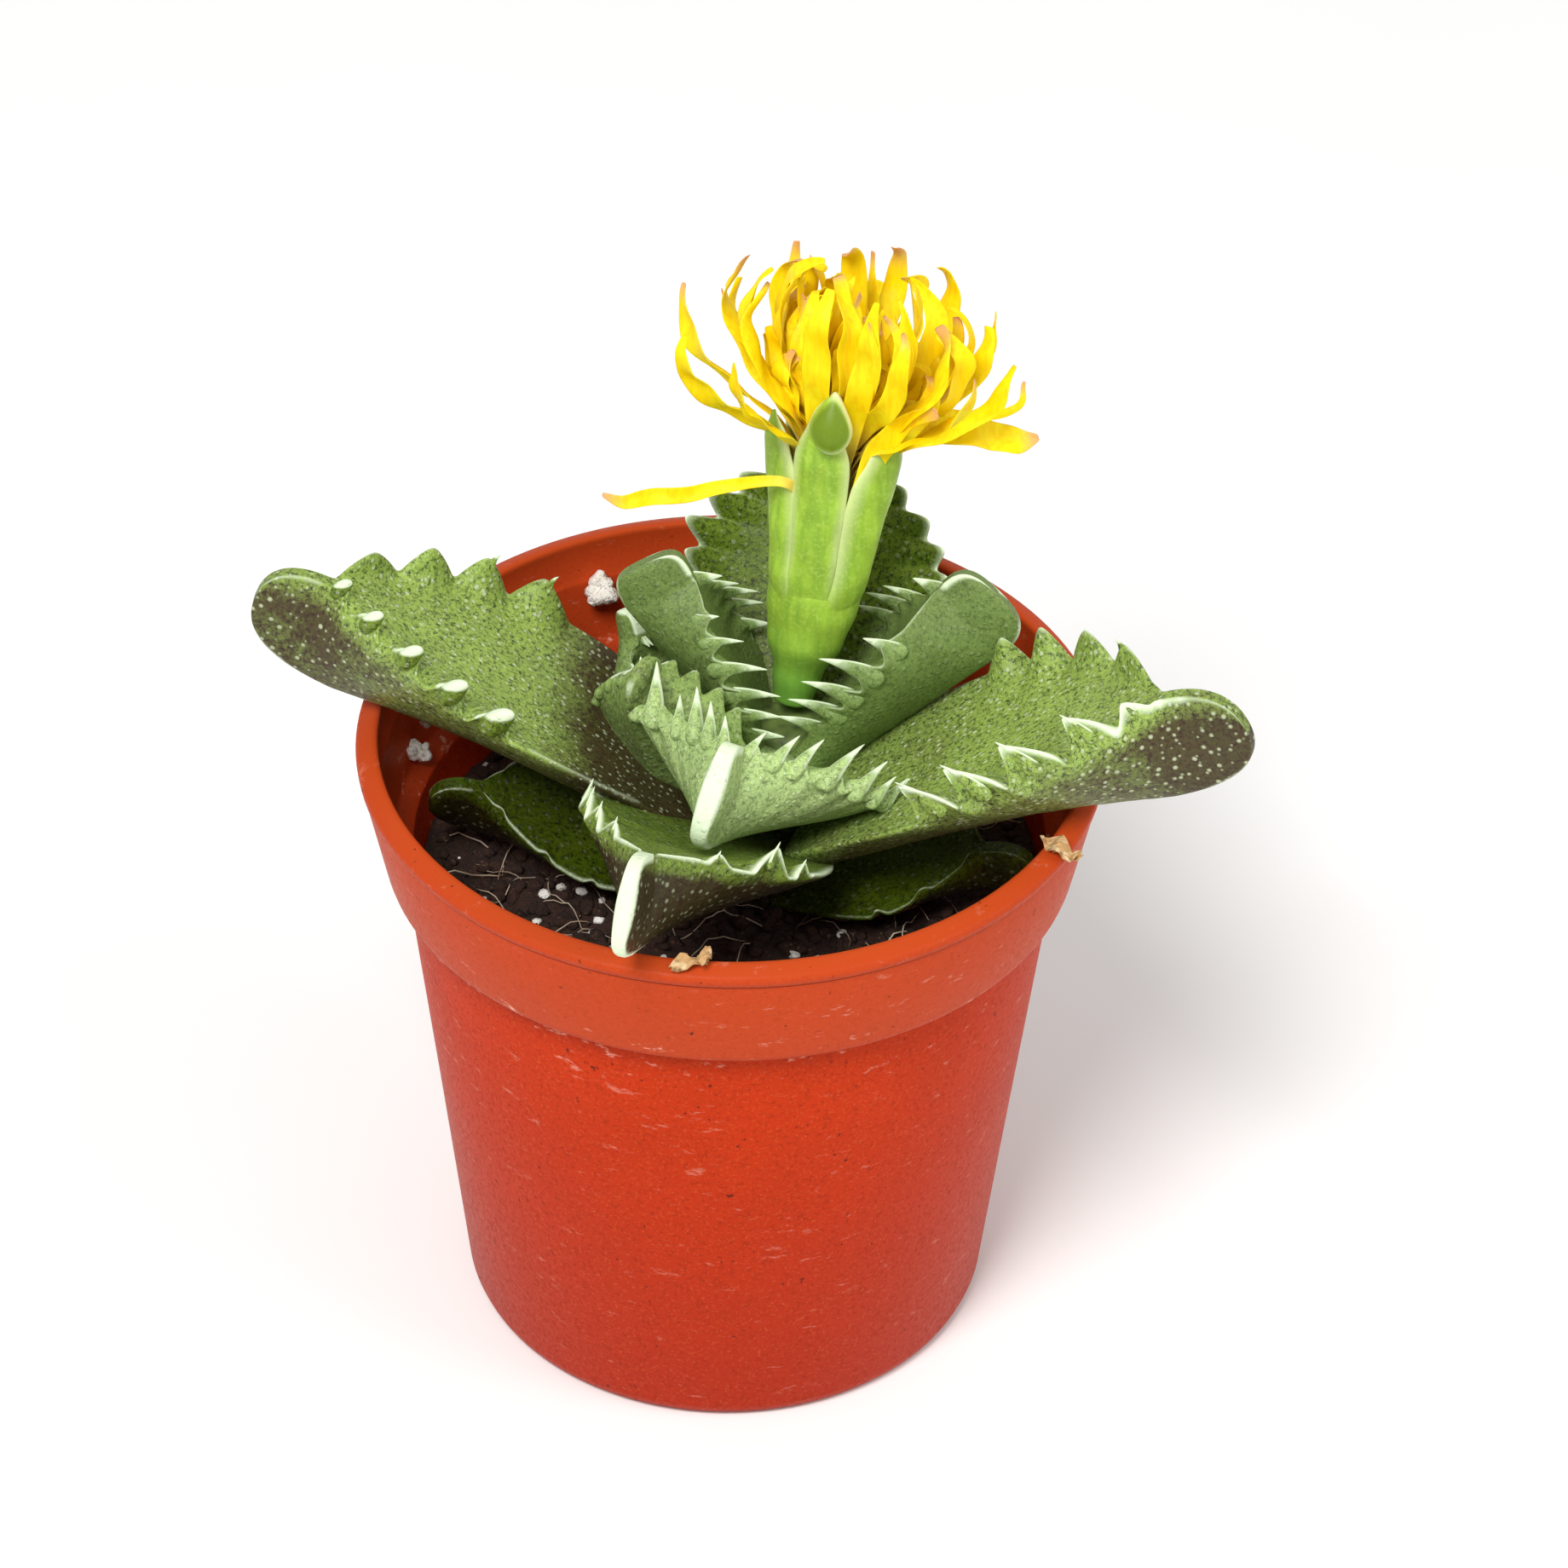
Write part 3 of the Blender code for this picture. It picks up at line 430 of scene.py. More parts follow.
def lump(work, centre, size, draw, subdivisions=1, squash=0.7):
    """One irregular lump: a small icosphere with its points pulled about."""
    made = bmesh.ops.create_icosphere(work, subdivisions=subdivisions, radius=1.0)
    shift = Vector((draw.uniform(-50, 50), draw.uniform(-50, 50), draw.uniform(-50, 50)))
    turn = Matrix.Rotation(draw.uniform(0, math.tau), 3, "Z")
    stretch = Vector((draw.uniform(0.8, 1.3), draw.uniform(0.7, 1.1), squash))
    for vert in made["verts"]:
        pull = 1.0 + 0.45 * noise.noise(vert.co * 1.7 + shift)
        vert.co = turn @ Vector([a * b for a, b in zip(vert.co * pull * size, stretch)]) + centre


def strand(work, points, radius, sides=5):
    """A thin round fibre through the points, pointed at both ends."""
    rows = len(points) - 1

    def place(column, row):
        along = (points[min(row + 1, rows)] - points[max(row - 1, 0)]).normalized()
        side = along.cross(Vector((0.2, 0.1, 1.0))).normalized()
        turn = Matrix.Rotation(math.tau * column / sides, 3, along)
        thick = radius * min(1.0, 3.0 * math.sin(math.pi * row / rows))
        return points[row] + turn @ side * thick, ()

    shaped_grid(work, sides, rows, place)


class TIGERJAWS_OT_compost(bpy.types.Operator):
    """Fills the pot with peat, crumbs, dry root fibres and grit"""

    bl_idname = "tigerjaws.compost"
    bl_label = "Compost"

    def execute(self, context):
        settings = context.scene.tiger_jaws_soil
        draw = random.Random(SEED + 20)
        edge = soil_reach(SOIL_HEIGHT)
        work = bmesh.new()
        columns, rows = SOIL_STEPS

        def place(column, row):
            # The rows run from the middle to the wall, then down it, and close the bottom.
            angle = math.tau * column / columns
            if row <= rows:
                x, y = polar(edge * row / rows, angle)
                return (x, y, soil_height(x, y)), ()
            height = (30 if row == rows + 1 else 2) * MM
            return (*polar(soil_reach(height) if row < rows + 3 else 0.0, angle), height), ()

        shaped_grid(work, columns, rows + 3, place)
        close_up(work)
        soil = add_piece(work, "compost", peat_material(settings))
        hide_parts("soil")

        work = bmesh.new()
        for _ in range(settings.crumbs):
            x, y = scattered(draw, edge - 0.8 * MM)
            size = draw.uniform(0.25, 0.9) * MM
            lump(work, Vector((x, y, soil_height(x, y) + size * 0.2)), size, draw)
        add_piece(work, "compost_crumbs", peat_material(settings))

        work = bmesh.new()
        limit = edge - 0.6 * MM
        for _ in range(settings.fibres):
            x, y = scattered(draw, edge - 3 * MM)
            heading = draw.uniform(0, math.tau)
            points = []
            bend = draw.uniform(-0.22, 0.22)
            for k in range(FIBRE_POINTS):
                arch = math.sin(math.pi * k / (FIBRE_POINTS - 1))
                lift = 0.25 * MM + 0.5 * MM * arch * draw.uniform(0.6, 1.0)
                points.append(Vector((x, y, soil_height(x, y) + lift)))
                heading += bend + draw.uniform(-0.2, 0.2)
                x += FIBRE_STEP * math.cos(heading)
                y += FIBRE_STEP * math.sin(heading)
                away = math.hypot(x, y)
                if away > limit:
                    x, y = x * limit / away, y * limit / away
            strand(work, points, draw.uniform(0.035, 0.075) * MM)
        close_up(work, 1e-8)
        add_piece(work, "root_fibres", fibre_material())

        work = bmesh.new()
        for _ in range(GRIT_GRAINS):
            angle = draw.choice((draw.uniform(3.4, 4.4), draw.uniform(4.9, 5.7),
                                 draw.uniform(0, 6.3)))
            x, y = polar(edge * draw.uniform(0.45, 0.97), angle)
            size = draw.uniform(0.2, 0.55) * MM
            lump(work, Vector((x, y, soil_height(x, y) + size * 0.5)), size, draw, 2)
        add_piece(work, "perlite_grit", grit_material(settings))
        return {"FINISHED"}


# Litter on the pot.

# Perlite clumps stuck inside the pot: place in mm and size in mm.
CLUMPS = [((-12.0, 26.6, 55.0), 1.6), ((-27.6, 8.3, 50.4), 1.2), ((-26.9, 10.2, 52.6), 0.8)]
# Dry scraps caught on the rim: place in mm, heading in degrees and length in mm.
SCRAPS = [((-3.2, -31.2, 60.2), 20, 3.2), ((-2.0, -31.0, 60.5), 75, 2.4),
          ((27.8, -15.7, 60.3), -50, 3.6), ((28.5, -16.0, 60.0), -20, 2.6)]
CLUMP_LUMPS = 11
# A scrap's grid: steps along and across it.
SCRAP_STEPS = (8, 4)


def scrap_material():
    """Dead leaf skin: papery, tan with brown edges."""
    return dull_material("dry_leaf_skin", "#4A2C14",
                         [((1.2 * MM, 0.3, 0.5, 1.0, 4), "#C09560"),
                          ((0.8 * MM, 0.5, 0.7, 1.0, 4), "#E2CA9E")], 0.75)


class TIGERJAWS_OT_litter(bpy.types.Operator):
    """Sticks perlite clumps inside the pot and dry scraps on its rim"""

    bl_idname = "tigerjaws.litter"
    bl_label = "Litter"

    def execute(self, context):
        draw = random.Random(SEED + 40)
        work = bmesh.new()
        for centre, size in CLUMPS:
            for _ in range(CLUMP_LUMPS):
                shift = Vector([draw.uniform(-0.5, 0.5) * size for _ in range(3)])
                lump(work, (Vector(centre) + shift) * MM, draw.uniform(0.3, 0.6) * size * MM,
                     draw, 2, 1.0)
        add_piece(work, "perlite_clumps", grit_material(context.scene.tiger_jaws_soil))
        work = bmesh.new()
        columns, rows = SCRAP_STEPS
        for centre, heading, length in SCRAPS:
            turn = Matrix.Rotation(math.radians(heading), 3, "Z")
            shift = Vector((draw.uniform(0, 9), draw.uniform(0, 9), 0))

            def place(column, row):
                x, y = (column / columns - 0.5) * length, (row / rows - 0.5) * length * 0.4
                # Dried hard: sharp folds across it, and a torn outline.
                folds = abs((0.75 * x + 0.5 * y + shift.x) % 2.0 - 1.0) - 0.5
                tear = noise.noise(Vector((x, y, 0)) * 2.3 + shift) * 0.35
                y *= 1.25 - 0.8 * abs(2 * column / columns - 1.0) ** 2
                return (Vector(centre) + turn @ Vector((x + tear, y, folds + tear))) * MM, ()

            shaped_grid(work, columns, rows, place)
        bmesh.ops.recalc_face_normals(work, faces=work.faces)
        scraps = add_piece(work, "dry_scraps", scrap_material())
        scraps.data.shade_flat()
        wall = scraps.modifiers.new("Skin", "SOLIDIFY")
        wall.thickness = 0.12 * MM
        return {"FINISHED"}


# Leaves.

# Each leaf: where it starts in mm, its heading, pitch, bend, roll and twist in degrees, and its
# length, half-width and keel's depth in mm. Most of the rest are shares:
# root and heel, of the half-width and of the keel's depth, at the leaf's start;
# apex and chin, of the length, where its upper face ends and where its keel is deepest;
# nose, how far down its depth the leaf's end lies; square, above 2.4, flattens that end;
# full, below 1, keeps the leaf wide further out; band is half of the keel's flat band in mm;
# right and left, the teeth of each margin, as place along the length and height in mm;
# splay, how far the teeth lean outward for their height;
# knobs, the side (1 right, -1 left) whose teeth are blunt knobs;
# lobed, the sides whose teeth are rounded green lobes; points, which lobes have a hooked point;
# young, 1 at the crown's middle; tone, how light the leaf is drawn, partly the skin's own
# lightness and partly painted shade on shaded leaves and painted light on the lit front one;
# flush, flush_from and root_flush, how purple the sides are, where along the leaf that sets in,
# and how purple the root is;
# line, how pale the margin is between the teeth; keel_from, where the pale keel starts;
# nose_pale, how pale the band round the end is;
# ridge, a side, the shares between which its margin is a raised white line, and how white.
LEAF_DEFAULTS = dict(roll=0, twist=0, heel=0.55, apex=0.86, chin=0.84, nose=0.5, square=2.4,
                     full=1.0, band=0.6, splay=0.0, knobs=0, lobed=(), points=(), young=0.0,
                     flush=0.0, flush_from=0.3, root_flush=0.3, ridge=(0, 0.0, 1.0, 1.0))
LEAVES = [
    dict(name="leaf_inner_left", base=(3.9, 5.4, 55.2), heading=166, pitch=68, bend=-7, roll=9,
         twist=9, length=21.2, half_width=6.6, keel=6.7, root=0.80, chin=0.83, square=4.0,
         young=1.0, line=0.6, tone_and_shade=0.56, keel_from=0.85, nose_pale=0.85,
         right=[(0.40, 2.4), (0.52, 2.8), (0.61, 3.2), (0.70, 2.4), (0.83, 2.2)],
         left=[(0.20, 2.6), (0.31, 3.2), (0.42, 3.8), (0.54, 3.6), (0.64, 2.4), (0.72, 1.0)]),
    dict(name="leaf_inner_right", base=(6.2, 5.6, 55.6), heading=7, pitch=56, bend=-9, roll=-22,
         length=22.6, half_width=6.9, keel=8.2, root=0.76, heel=0.6, chin=0.83, square=3.2,
         young=1.0, line=0.6, tone_and_shade=0.56, keel_from=0.85, nose_pale=0.85,
         right=[(0.18, 3.6), (0.28, 3.8), (0.38, 4.0), (0.50, 4.2), (0.62, 2.4)],
         left=[(0.39, 2.4), (0.50, 3.2), (0.59, 3.4), (0.68, 3.0), (0.84, 2.2)]),
    dict(name="leaf_front", base=(5.0, 3.2, 55.3), heading=255, pitch=35, bend=8, roll=-12,
         twist=4, length=26.4, half_width=12.0, band=0.75, keel=9.2, root=0.62, apex=0.87,
         square=3.6, splay=0.45, young=0.8, flush=0.1, line=0.25, tone_and_shade=1.3, keel_from=0.45,
         nose_pale=1.0,
         right=[(0.32, 2.6), (0.40, 2.6), (0.48, 1.8), (0.55, 4.4), (0.64, 4.6), (0.72, 2.6),
                (0.765, 3.8), (0.80, 3.0), (0.835, 2.2)],
         left=[(0.28, 2.2), (0.36, 2.4), (0.44, 2.4), (0.53, 2.2), (0.60, 3.2), (0.68, 3.9),
               (0.75, 3.1), (0.79, 2.7), (0.84, 2.0)]),
    dict(name="leaf_back", base=(4.8, 7.6, 55.0), heading=73, pitch=50, bend=-5, roll=2, twist=1,
         length=29.5, half_width=10.4, keel=6.6, root=0.66, lobed=(1, -1), splay=0.9, line=0.7,
         tone_and_shade=0.5, keel_from=0.6, nose_pale=0.5,
         right=[(0.40, 2.0), (0.49, 2.2), (0.57, 2.3), (0.65, 2.2), (0.73, 2.1), (0.80, 1.8)],
         left=[(0.42, 2.0), (0.51, 2.8), (0.60, 2.6), (0.68, 2.3), (0.76, 2.2), (0.83, 1.8)]),
    dict(name="leaf_shoot_front", base=(-3.2, 3.0, 50.5), heading=228, pitch=72, bend=6, roll=8,
         twist=3, length=20.0, half_width=8.2, band=0.35, keel=5.2, root=0.62, heel=0.7,
         apex=0.88, lobed=(-1,), young=0.75, flush=0.3, line=0.3, tone_and_shade=0.85, keel_from=0.95,
         nose_pale=0.4,
         right=[(0.50, 2.2), (0.57, 2.4), (0.65, 2.6), (0.72, 2.4), (0.79, 2.2), (0.86, 1.8)],
         left=[(0.62, 2.2), (0.70, 2.4), (0.78, 2.2), (0.85, 1.6)]),
    dict(name="leaf_shoot_back", base=(-5.0, 6.6, 50.5), heading=125, pitch=66, bend=2,
         length=15.0, half_width=4.8, keel=3.6, root=0.7, heel=0.7, young=0.9, flush=0.2,
         line=0.45, tone_and_shade=0.7, keel_from=0.6, nose_pale=0.8,
         right=[(0.48, 1.6), (0.60, 1.8), (0.72, 1.6), (0.83, 1.2)],
         left=[(0.48, 1.6), (0.60, 1.8), (0.72, 1.6), (0.83, 1.2)]),
    dict(name="leaf_left", base=(1.2, 1.0, 51.2), heading=176, pitch=37, bend=-13, roll=6,
         twist=-2, length=47.4, half_width=11.3, full=0.78, keel=9.8, root=0.66, heel=0.57,
         apex=0.89, chin=0.79, nose=0.4, flush=0.72, flush_from=0.6, line=0.1, tone_and_shade=1.0,
         root_flush=1.0, keel_from=0.86, nose_pale=0.5, knobs=-1, lobed=(1,), points=(0, 1),
         ridge=(-1, 0.2, 0.46, 0.42),
         right=[(0.475, 3.2), (0.595, 3.1), (0.705, 3.0), (0.815, 2.3)],
         left=[(0.545, 2.6), (0.635, 2.2), (0.725, 1.9), (0.805, 1.6), (0.87, 1.3)]),
    dict(name="leaf_right", base=(6.8, -1.6, 53.4), heading=-20, pitch=39, bend=-13, roll=1,
         twist=-1, length=43.8, half_width=11.4, full=0.88, keel=9.8, root=0.7, heel=0.57,
         chin=0.78, flush=0.85, flush_from=0.62, line=0.35, tone_and_shade=1.05, keel_from=0.86,
         nose_pale=0.5, lobed=(-1,), points=(3,), ridge=(1, 0.74, 0.9, 1.0),
         right=[(0.44, 4.6), (0.54, 4.6), (0.64, 4.2), (0.74, 3.4), (0.81, 1.4)],
         left=[(0.41, 3.4), (0.505, 3.4), (0.625, 3.0), (0.745, 2.8)]),
    dict(name="leaf_low_front", base=(2.2, 0.6, 49.4), heading=253, pitch=34, bend=-1, roll=-11,
         twist=10, length=41.4, half_width=10.8, band=0.6, keel=8.8, root=0.66, heel=0.5,
         apex=0.9, chin=0.87, square=3.6, young=0.2, flush=1.0, flush_from=0.0, line=1.0,
         tone_and_shade=0.6, keel_from=0.5, nose_pale=0.88,
         right=[(0.52, 2.2), (0.60, 2.2), (0.68, 1.8), (0.76, 1.4)],
         left=[(0.54, 1.2), (0.64, 2.4), (0.76, 0.9)]),
    dict(name="leaf_low_back", base=(4.6, 5.0, 49.0), heading=93, pitch=37, bend=-4, length=25.5,
         half_width=10.0, keel=6.2, root=0.66, apex=0.87, young=0.2, flush=0.4, line=0.6,
         tone_and_shade=0.6, keel_from=0.6, nose_pale=0.8,
         right=[(0.50, 2.2), (0.60, 2.2), (0.70, 2.0), (0.80, 1.8)],
         left=[(0.50, 2.2), (0.60, 2.2), (0.70, 2.4), (0.80, 1.8)]),
    dict(name="leaf_old_left", base=(1.2, 1.4, 46.8), heading=185, pitch=15, bend=5, roll=-10,
         twist=-6, length=28.0, half_width=8.4, keel=6.0, root=0.7, apex=0.88, chin=0.82,
         flush=0.8, line=0.6, tone_and_shade=0.2, keel_from=0.9, nose_pale=0.5,
         right=[(0.50, 0.3), (0.65, 0.3), (0.80, 0.3)],
         left=[(0.50, 0.3), (0.65, 0.3), (0.80, 0.3)]),
    dict(name="leaf_old_right", base=(5.2, 0.0, 46.4), heading=-21, pitch=17, bend=5, roll=9,
         length=23.0, half_width=8.2, keel=5.0, root=0.72, apex=0.84, chin=0.82, flush=0.6,
         line=0.45, tone_and_shade=0.22, keel_from=0.9, nose_pale=0.35,
         right=[(0.50, 0.5), (0.65, 0.5), (0.80, 0.5)],
         left=[(0.50, 0.5), (0.65, 0.5), (0.80, 0.5)]),
]
# The skin stays this much inside the solids' ends, in mm.
SHORTER = 0.25
MIDLINE_STEPS = 120
STATION_STEP = 0.33 * MM
NOSE_STEPS = 12
NOSE_FULLNESS = 2.4
# The share of the length where a leaf is widest.
WIDEST = 0.45
SIDE_BULGE = 0.9 * MM
DISH = 0.7 * MM
RIM_THICK = 0.5 * MM
TOOTH_SLOPE = 0.55
# Teeth lower than this get no point of their own.
SMALLEST_POINT = 0.6 * MM
TOOTH_FOOT = 0.4
TOOTH_HOOK = 0.5
TOOTH_SIDES = 10
TOOTH_RINGS = 9
# Round the section: part, place in it, side. Depth runs from the margin, 0, to the keel, 1.
SECTION = ([("keel", 0.0, 0)]
           + [("side", depth, 1) for depth in (1.0, 0.95, 0.86, 0.72, 0.58, 0.43, 0.28, 0.14)]
           + [("rim", where, 1) for where in (0, 1, 2)]
           + [("top", across, 0)
              for across in (0.86, 0.68, 0.42, 0.14, -0.14, -0.42, -0.68, -0.86)]
           + [("rim", where, -1) for where in (2, 1, 0)]
           + [("side", depth, -1) for depth in (0.14, 0.28, 0.43, 0.58, 0.72, 0.86, 0.95, 1.0)])


def superellipse(part, power=NOSE_FULLNESS):
    """A rounded fall from 1 at 0 to 0 at 1, fuller with a higher power."""
    return max(0.0, 1.0 - min(1.0, max(0.0, part)) ** power) ** (1.0 / power)


def smooth(value, low, high):
    """An eased rise from 0 at the low value to 1 at the high one."""
    part = min(1.0, max(0.0, (value - low) / (high - low)))
    return part * part * (3 - 2 * part)


def leaf_shares(leaf):
    """Places along the leaf where a section is made: even, then closer round the nose."""
    apex = leaf["apex"]
    count = math.ceil(leaf["length"] * MM * apex / STATION_STEP)
    return ([apex * k / count for k in range(count)]
            + [apex + (1 - apex) * math.sin(math.pi / 2 * k / NOSE_STEPS)
               for k in range(NOSE_STEPS + 1)])


def leaf_frames(leaf, shares):
    """Place, along, up and right of the leaf's midline at each share of its length."""
    heading = math.radians(leaf["heading"])
    right = Vector((math.sin(heading), -math.cos(heading), 0.0))
    frames = []
    steps = MIDLINE_STEPS
    points = [Vector(leaf["base"]) * MM]
    tangents = []
    for k in range(steps + 1):
        pitch = math.radians(leaf["pitch"] + leaf["bend"] * k / steps)
        tangents.append(Vector((math.cos(pitch) * math.cos(heading),
                                math.cos(pitch) * math.sin(heading), math.sin(pitch))))
        if k:
            points.append(points[-1] + (tangents[-1] + tangents[-2]) * 0.5
                          * (leaf["length"] - SHORTER) * MM / steps)
    for share in shares:
        index = min(int(share * steps), steps - 1)
        part = share * steps - index
        along = tangents[index].lerp(tangents[index + 1], part).normalized()
        roll = math.radians(leaf["roll"] + leaf["twist"] * share)
        up = right.cross(along)
        frames.append((points[index].lerp(points[index + 1], part), along,
                       up * math.cos(roll) + right * math.sin(roll),
                       right * math.cos(roll) - up * math.sin(roll)))
    return frames


def leaf_half_width(leaf, share):
    """Half of the upper face's width: widening from the root, then closing towards the apex."""
    if share < WIDEST:
        part = leaf["root"] + (1 - leaf["root"]) * math.sin(math.pi / 2 * share / WIDEST)
    else:
        closed = min(1.0, (share - WIDEST) / (leaf["apex"] - WIDEST))
        part = math.cos(math.pi / 2 * closed) ** leaf["full"]
    return max(leaf["half_width"] * MM * part, keel_width(leaf, share))


def keel_width(leaf, share):
    """Half of the flat band along the keel and round the nose."""
    past = max(0.0, (share - leaf["apex"]) / (1 - leaf["apex"]))
    return leaf["band"] * MM * (1 - 0.06 * past ** 4)


def leaf_top(leaf, share):
    """Height of the upper face over the midline: 0 up to the apex, then down to the nose."""
    if share <= leaf["apex"]:
        return 0.0
    past = (share - leaf["apex"]) / (1 - leaf["apex"])
    return -leaf["nose"] * leaf["keel"] * MM * (1 - superellipse(past, leaf["square"]))


def leaf_bottom(leaf, share):
    """Height of the keel's edge: down to the chin, then up to the nose."""
    keel = leaf["keel"] * MM
    if share < leaf["chin"]:
        return -keel * (leaf["heel"] + (1 - leaf["heel"]) * share / leaf["chin"])
    drop = leaf["nose"] * keel
    past = (share - leaf["chin"]) / (1 - leaf["chin"])
    return -drop - (keel - drop) * superellipse(past, leaf["square"])


def leaf_teeth(leaf, scale):
    """For each side, its teeth as middle share, height in metres, half of the base, and whether
    they are lobes."""
    sides = {}
    for side, teeth in ((1, leaf["right"]), (-1, leaf["left"])):
        sides[side] = []
        lobed = side in leaf["lobed"]
        slope = TOOTH_SLOPE * (2 if lobed else 1)
        for share, height in teeth:
            near = min(abs(share - other) for other, _ in teeth if other != share)
            half = min(0.55 * near * leaf["length"], slope * height + TOOTH_FOOT)
            sides[side].append((share, height * scale * MM, half / leaf["length"], lobed))
    return sides


def tooth_rise(leaf, teeth, share):
    """Height of the fleshy lobe under a tooth at a share, how far up its lobe that is, and
    whether it is on the flank towards the leaf's end."""
    young = leaf["young"]
    best = (0.0, 0.0, False)
    for middle, tall, half, lobed in teeth:
        off = abs(share - middle) / half
        if off < 1.0:
            # Fins on the old leaves: full towards the leaf's end, steep towards its root.
            power = 0.9 + 0.5 * young if young > 0.5 else (0.65 if share > middle else 0.9)
            up = (1 - off ** 1.4) if lobed else (1 - off) ** power
            rise = tall * up * (1.0 if lobed else 0.95 - 0.5 * young)
            if rise > best[0]:
                best = (rise, up, share > middle)
    return best


def margin_dip(teeth, share, up_tooth):
    """How far the margin sinks between its teeth."""
    inside = smooth(share, teeth[0][0] - 0.05, teeth[0][0]) * (
        1 - smooth(share, teeth[-1][0], teeth[-1][0] + 0.05))
    return 0.2 * max(tooth[1] for tooth in teeth) * inside * (1 - up_tooth)


def tooth_spike(work, layers, leaf, tooth, side):
    """The horny hooked point of a tooth: a flattened cone that starts as a ridge on the leaf's
    side and bends towards the root. On some margins it is a blunt white-capped knob, and on a
    lobe a small point."""
    share, tall, half, lobed = tooth
    origin, along, up, right = leaf_frames(leaf, [share])[0]
    young, spread = leaf["young"], leaf["splay"]
    knob = leaf["knobs"] == side
    outward = right * side
    reach = half * leaf["length"] * MM
    splay, hook = 0.15 * MM + spread * tall, TOOTH_HOOK
    if lobed:
        tall += 0.8 * MM
        depth, base, thick = 0.5 * MM, 1.1 * MM, 0.55 * MM
        splay, hook = 0.2 * MM, -0.3
    elif knob:
        tall = 0.9 * tall + 0.8 * MM
        depth, base, thick = 0.9 * MM, 0.42 * tall, 0.36 * tall
        splay, hook = 0.4 * tall, 0.15
    elif young > 0.5:
        depth, base = (0.5 + 1.1 * young) * MM, max(0.85 * reach, 0.24 * tall + 0.2 * MM)
        thick = 0.48 * MM + (0.05 + 0.24 * spread) * tall
    else:
        depth, base, thick = 0.2 * MM, 0.5 * reach, 0.3 * MM + 0.05 * tall
    root = origin + outward * (leaf_half_width(leaf, share) - 0.55 * MM) - up * depth

    def place(column, row):
        rise = row / TOOTH_RINGS
        angle = math.tau * column / TOOTH_SIDES
        front = 0.5 + 0.5 * math.sin(angle)
        back = tall * hook * rise * rise + (1.1 * MM * rise ** 6 if lobed else 0.0)
        centre = root + up * (tall + depth) * rise + outward * splay * rise ** 1.5 - along * back
        size = min(1.0, 0.55 + 3 * rise) * (1 - rise * rise) * (1 - 0.45 * rise)
        # The edges are white: those that lie along the leaf, or across it where the teeth splay.
        edge = smooth(abs(math.sin(angle) if spread else math.cos(angle)), 0.7, 1.0)
        pale = max(smooth(rise, 0.5, 0.85), 0.9 * edge * smooth(rise, 0.15, 0.4),
                   0.5 * young * front * smooth(rise, 0.25, 0.7))
        # Teeth take the leaf's lightness, partly painted shade, but are drawn no darker than 0.8.
        light = max(leaf["tone_and_shade"], 0.8)
        if lobed:
            pale = smooth(rise, 0.8, 0.93)
        elif knob:
            size = min(1.0, 0.6 + 1.2 * rise) * math.sqrt(1 - rise ** 2.6)
            # A knob's white cap keeps off its outward lower face, and its mound is painted darker:
            # painted shade beside the cap.
            pale = smooth(rise + 0.22 * math.cos(angle) - 0.1 * front, 0.45, 0.75)
            light = 0.6
        point = (centre + along * base * size * math.cos(angle)
                 + outward * thick * size * math.sin(angle))
        return point, (pale, young, 0.0, light)

    shaped_grid(work, TOOTH_SIDES, TOOTH_RINGS, place, layers)


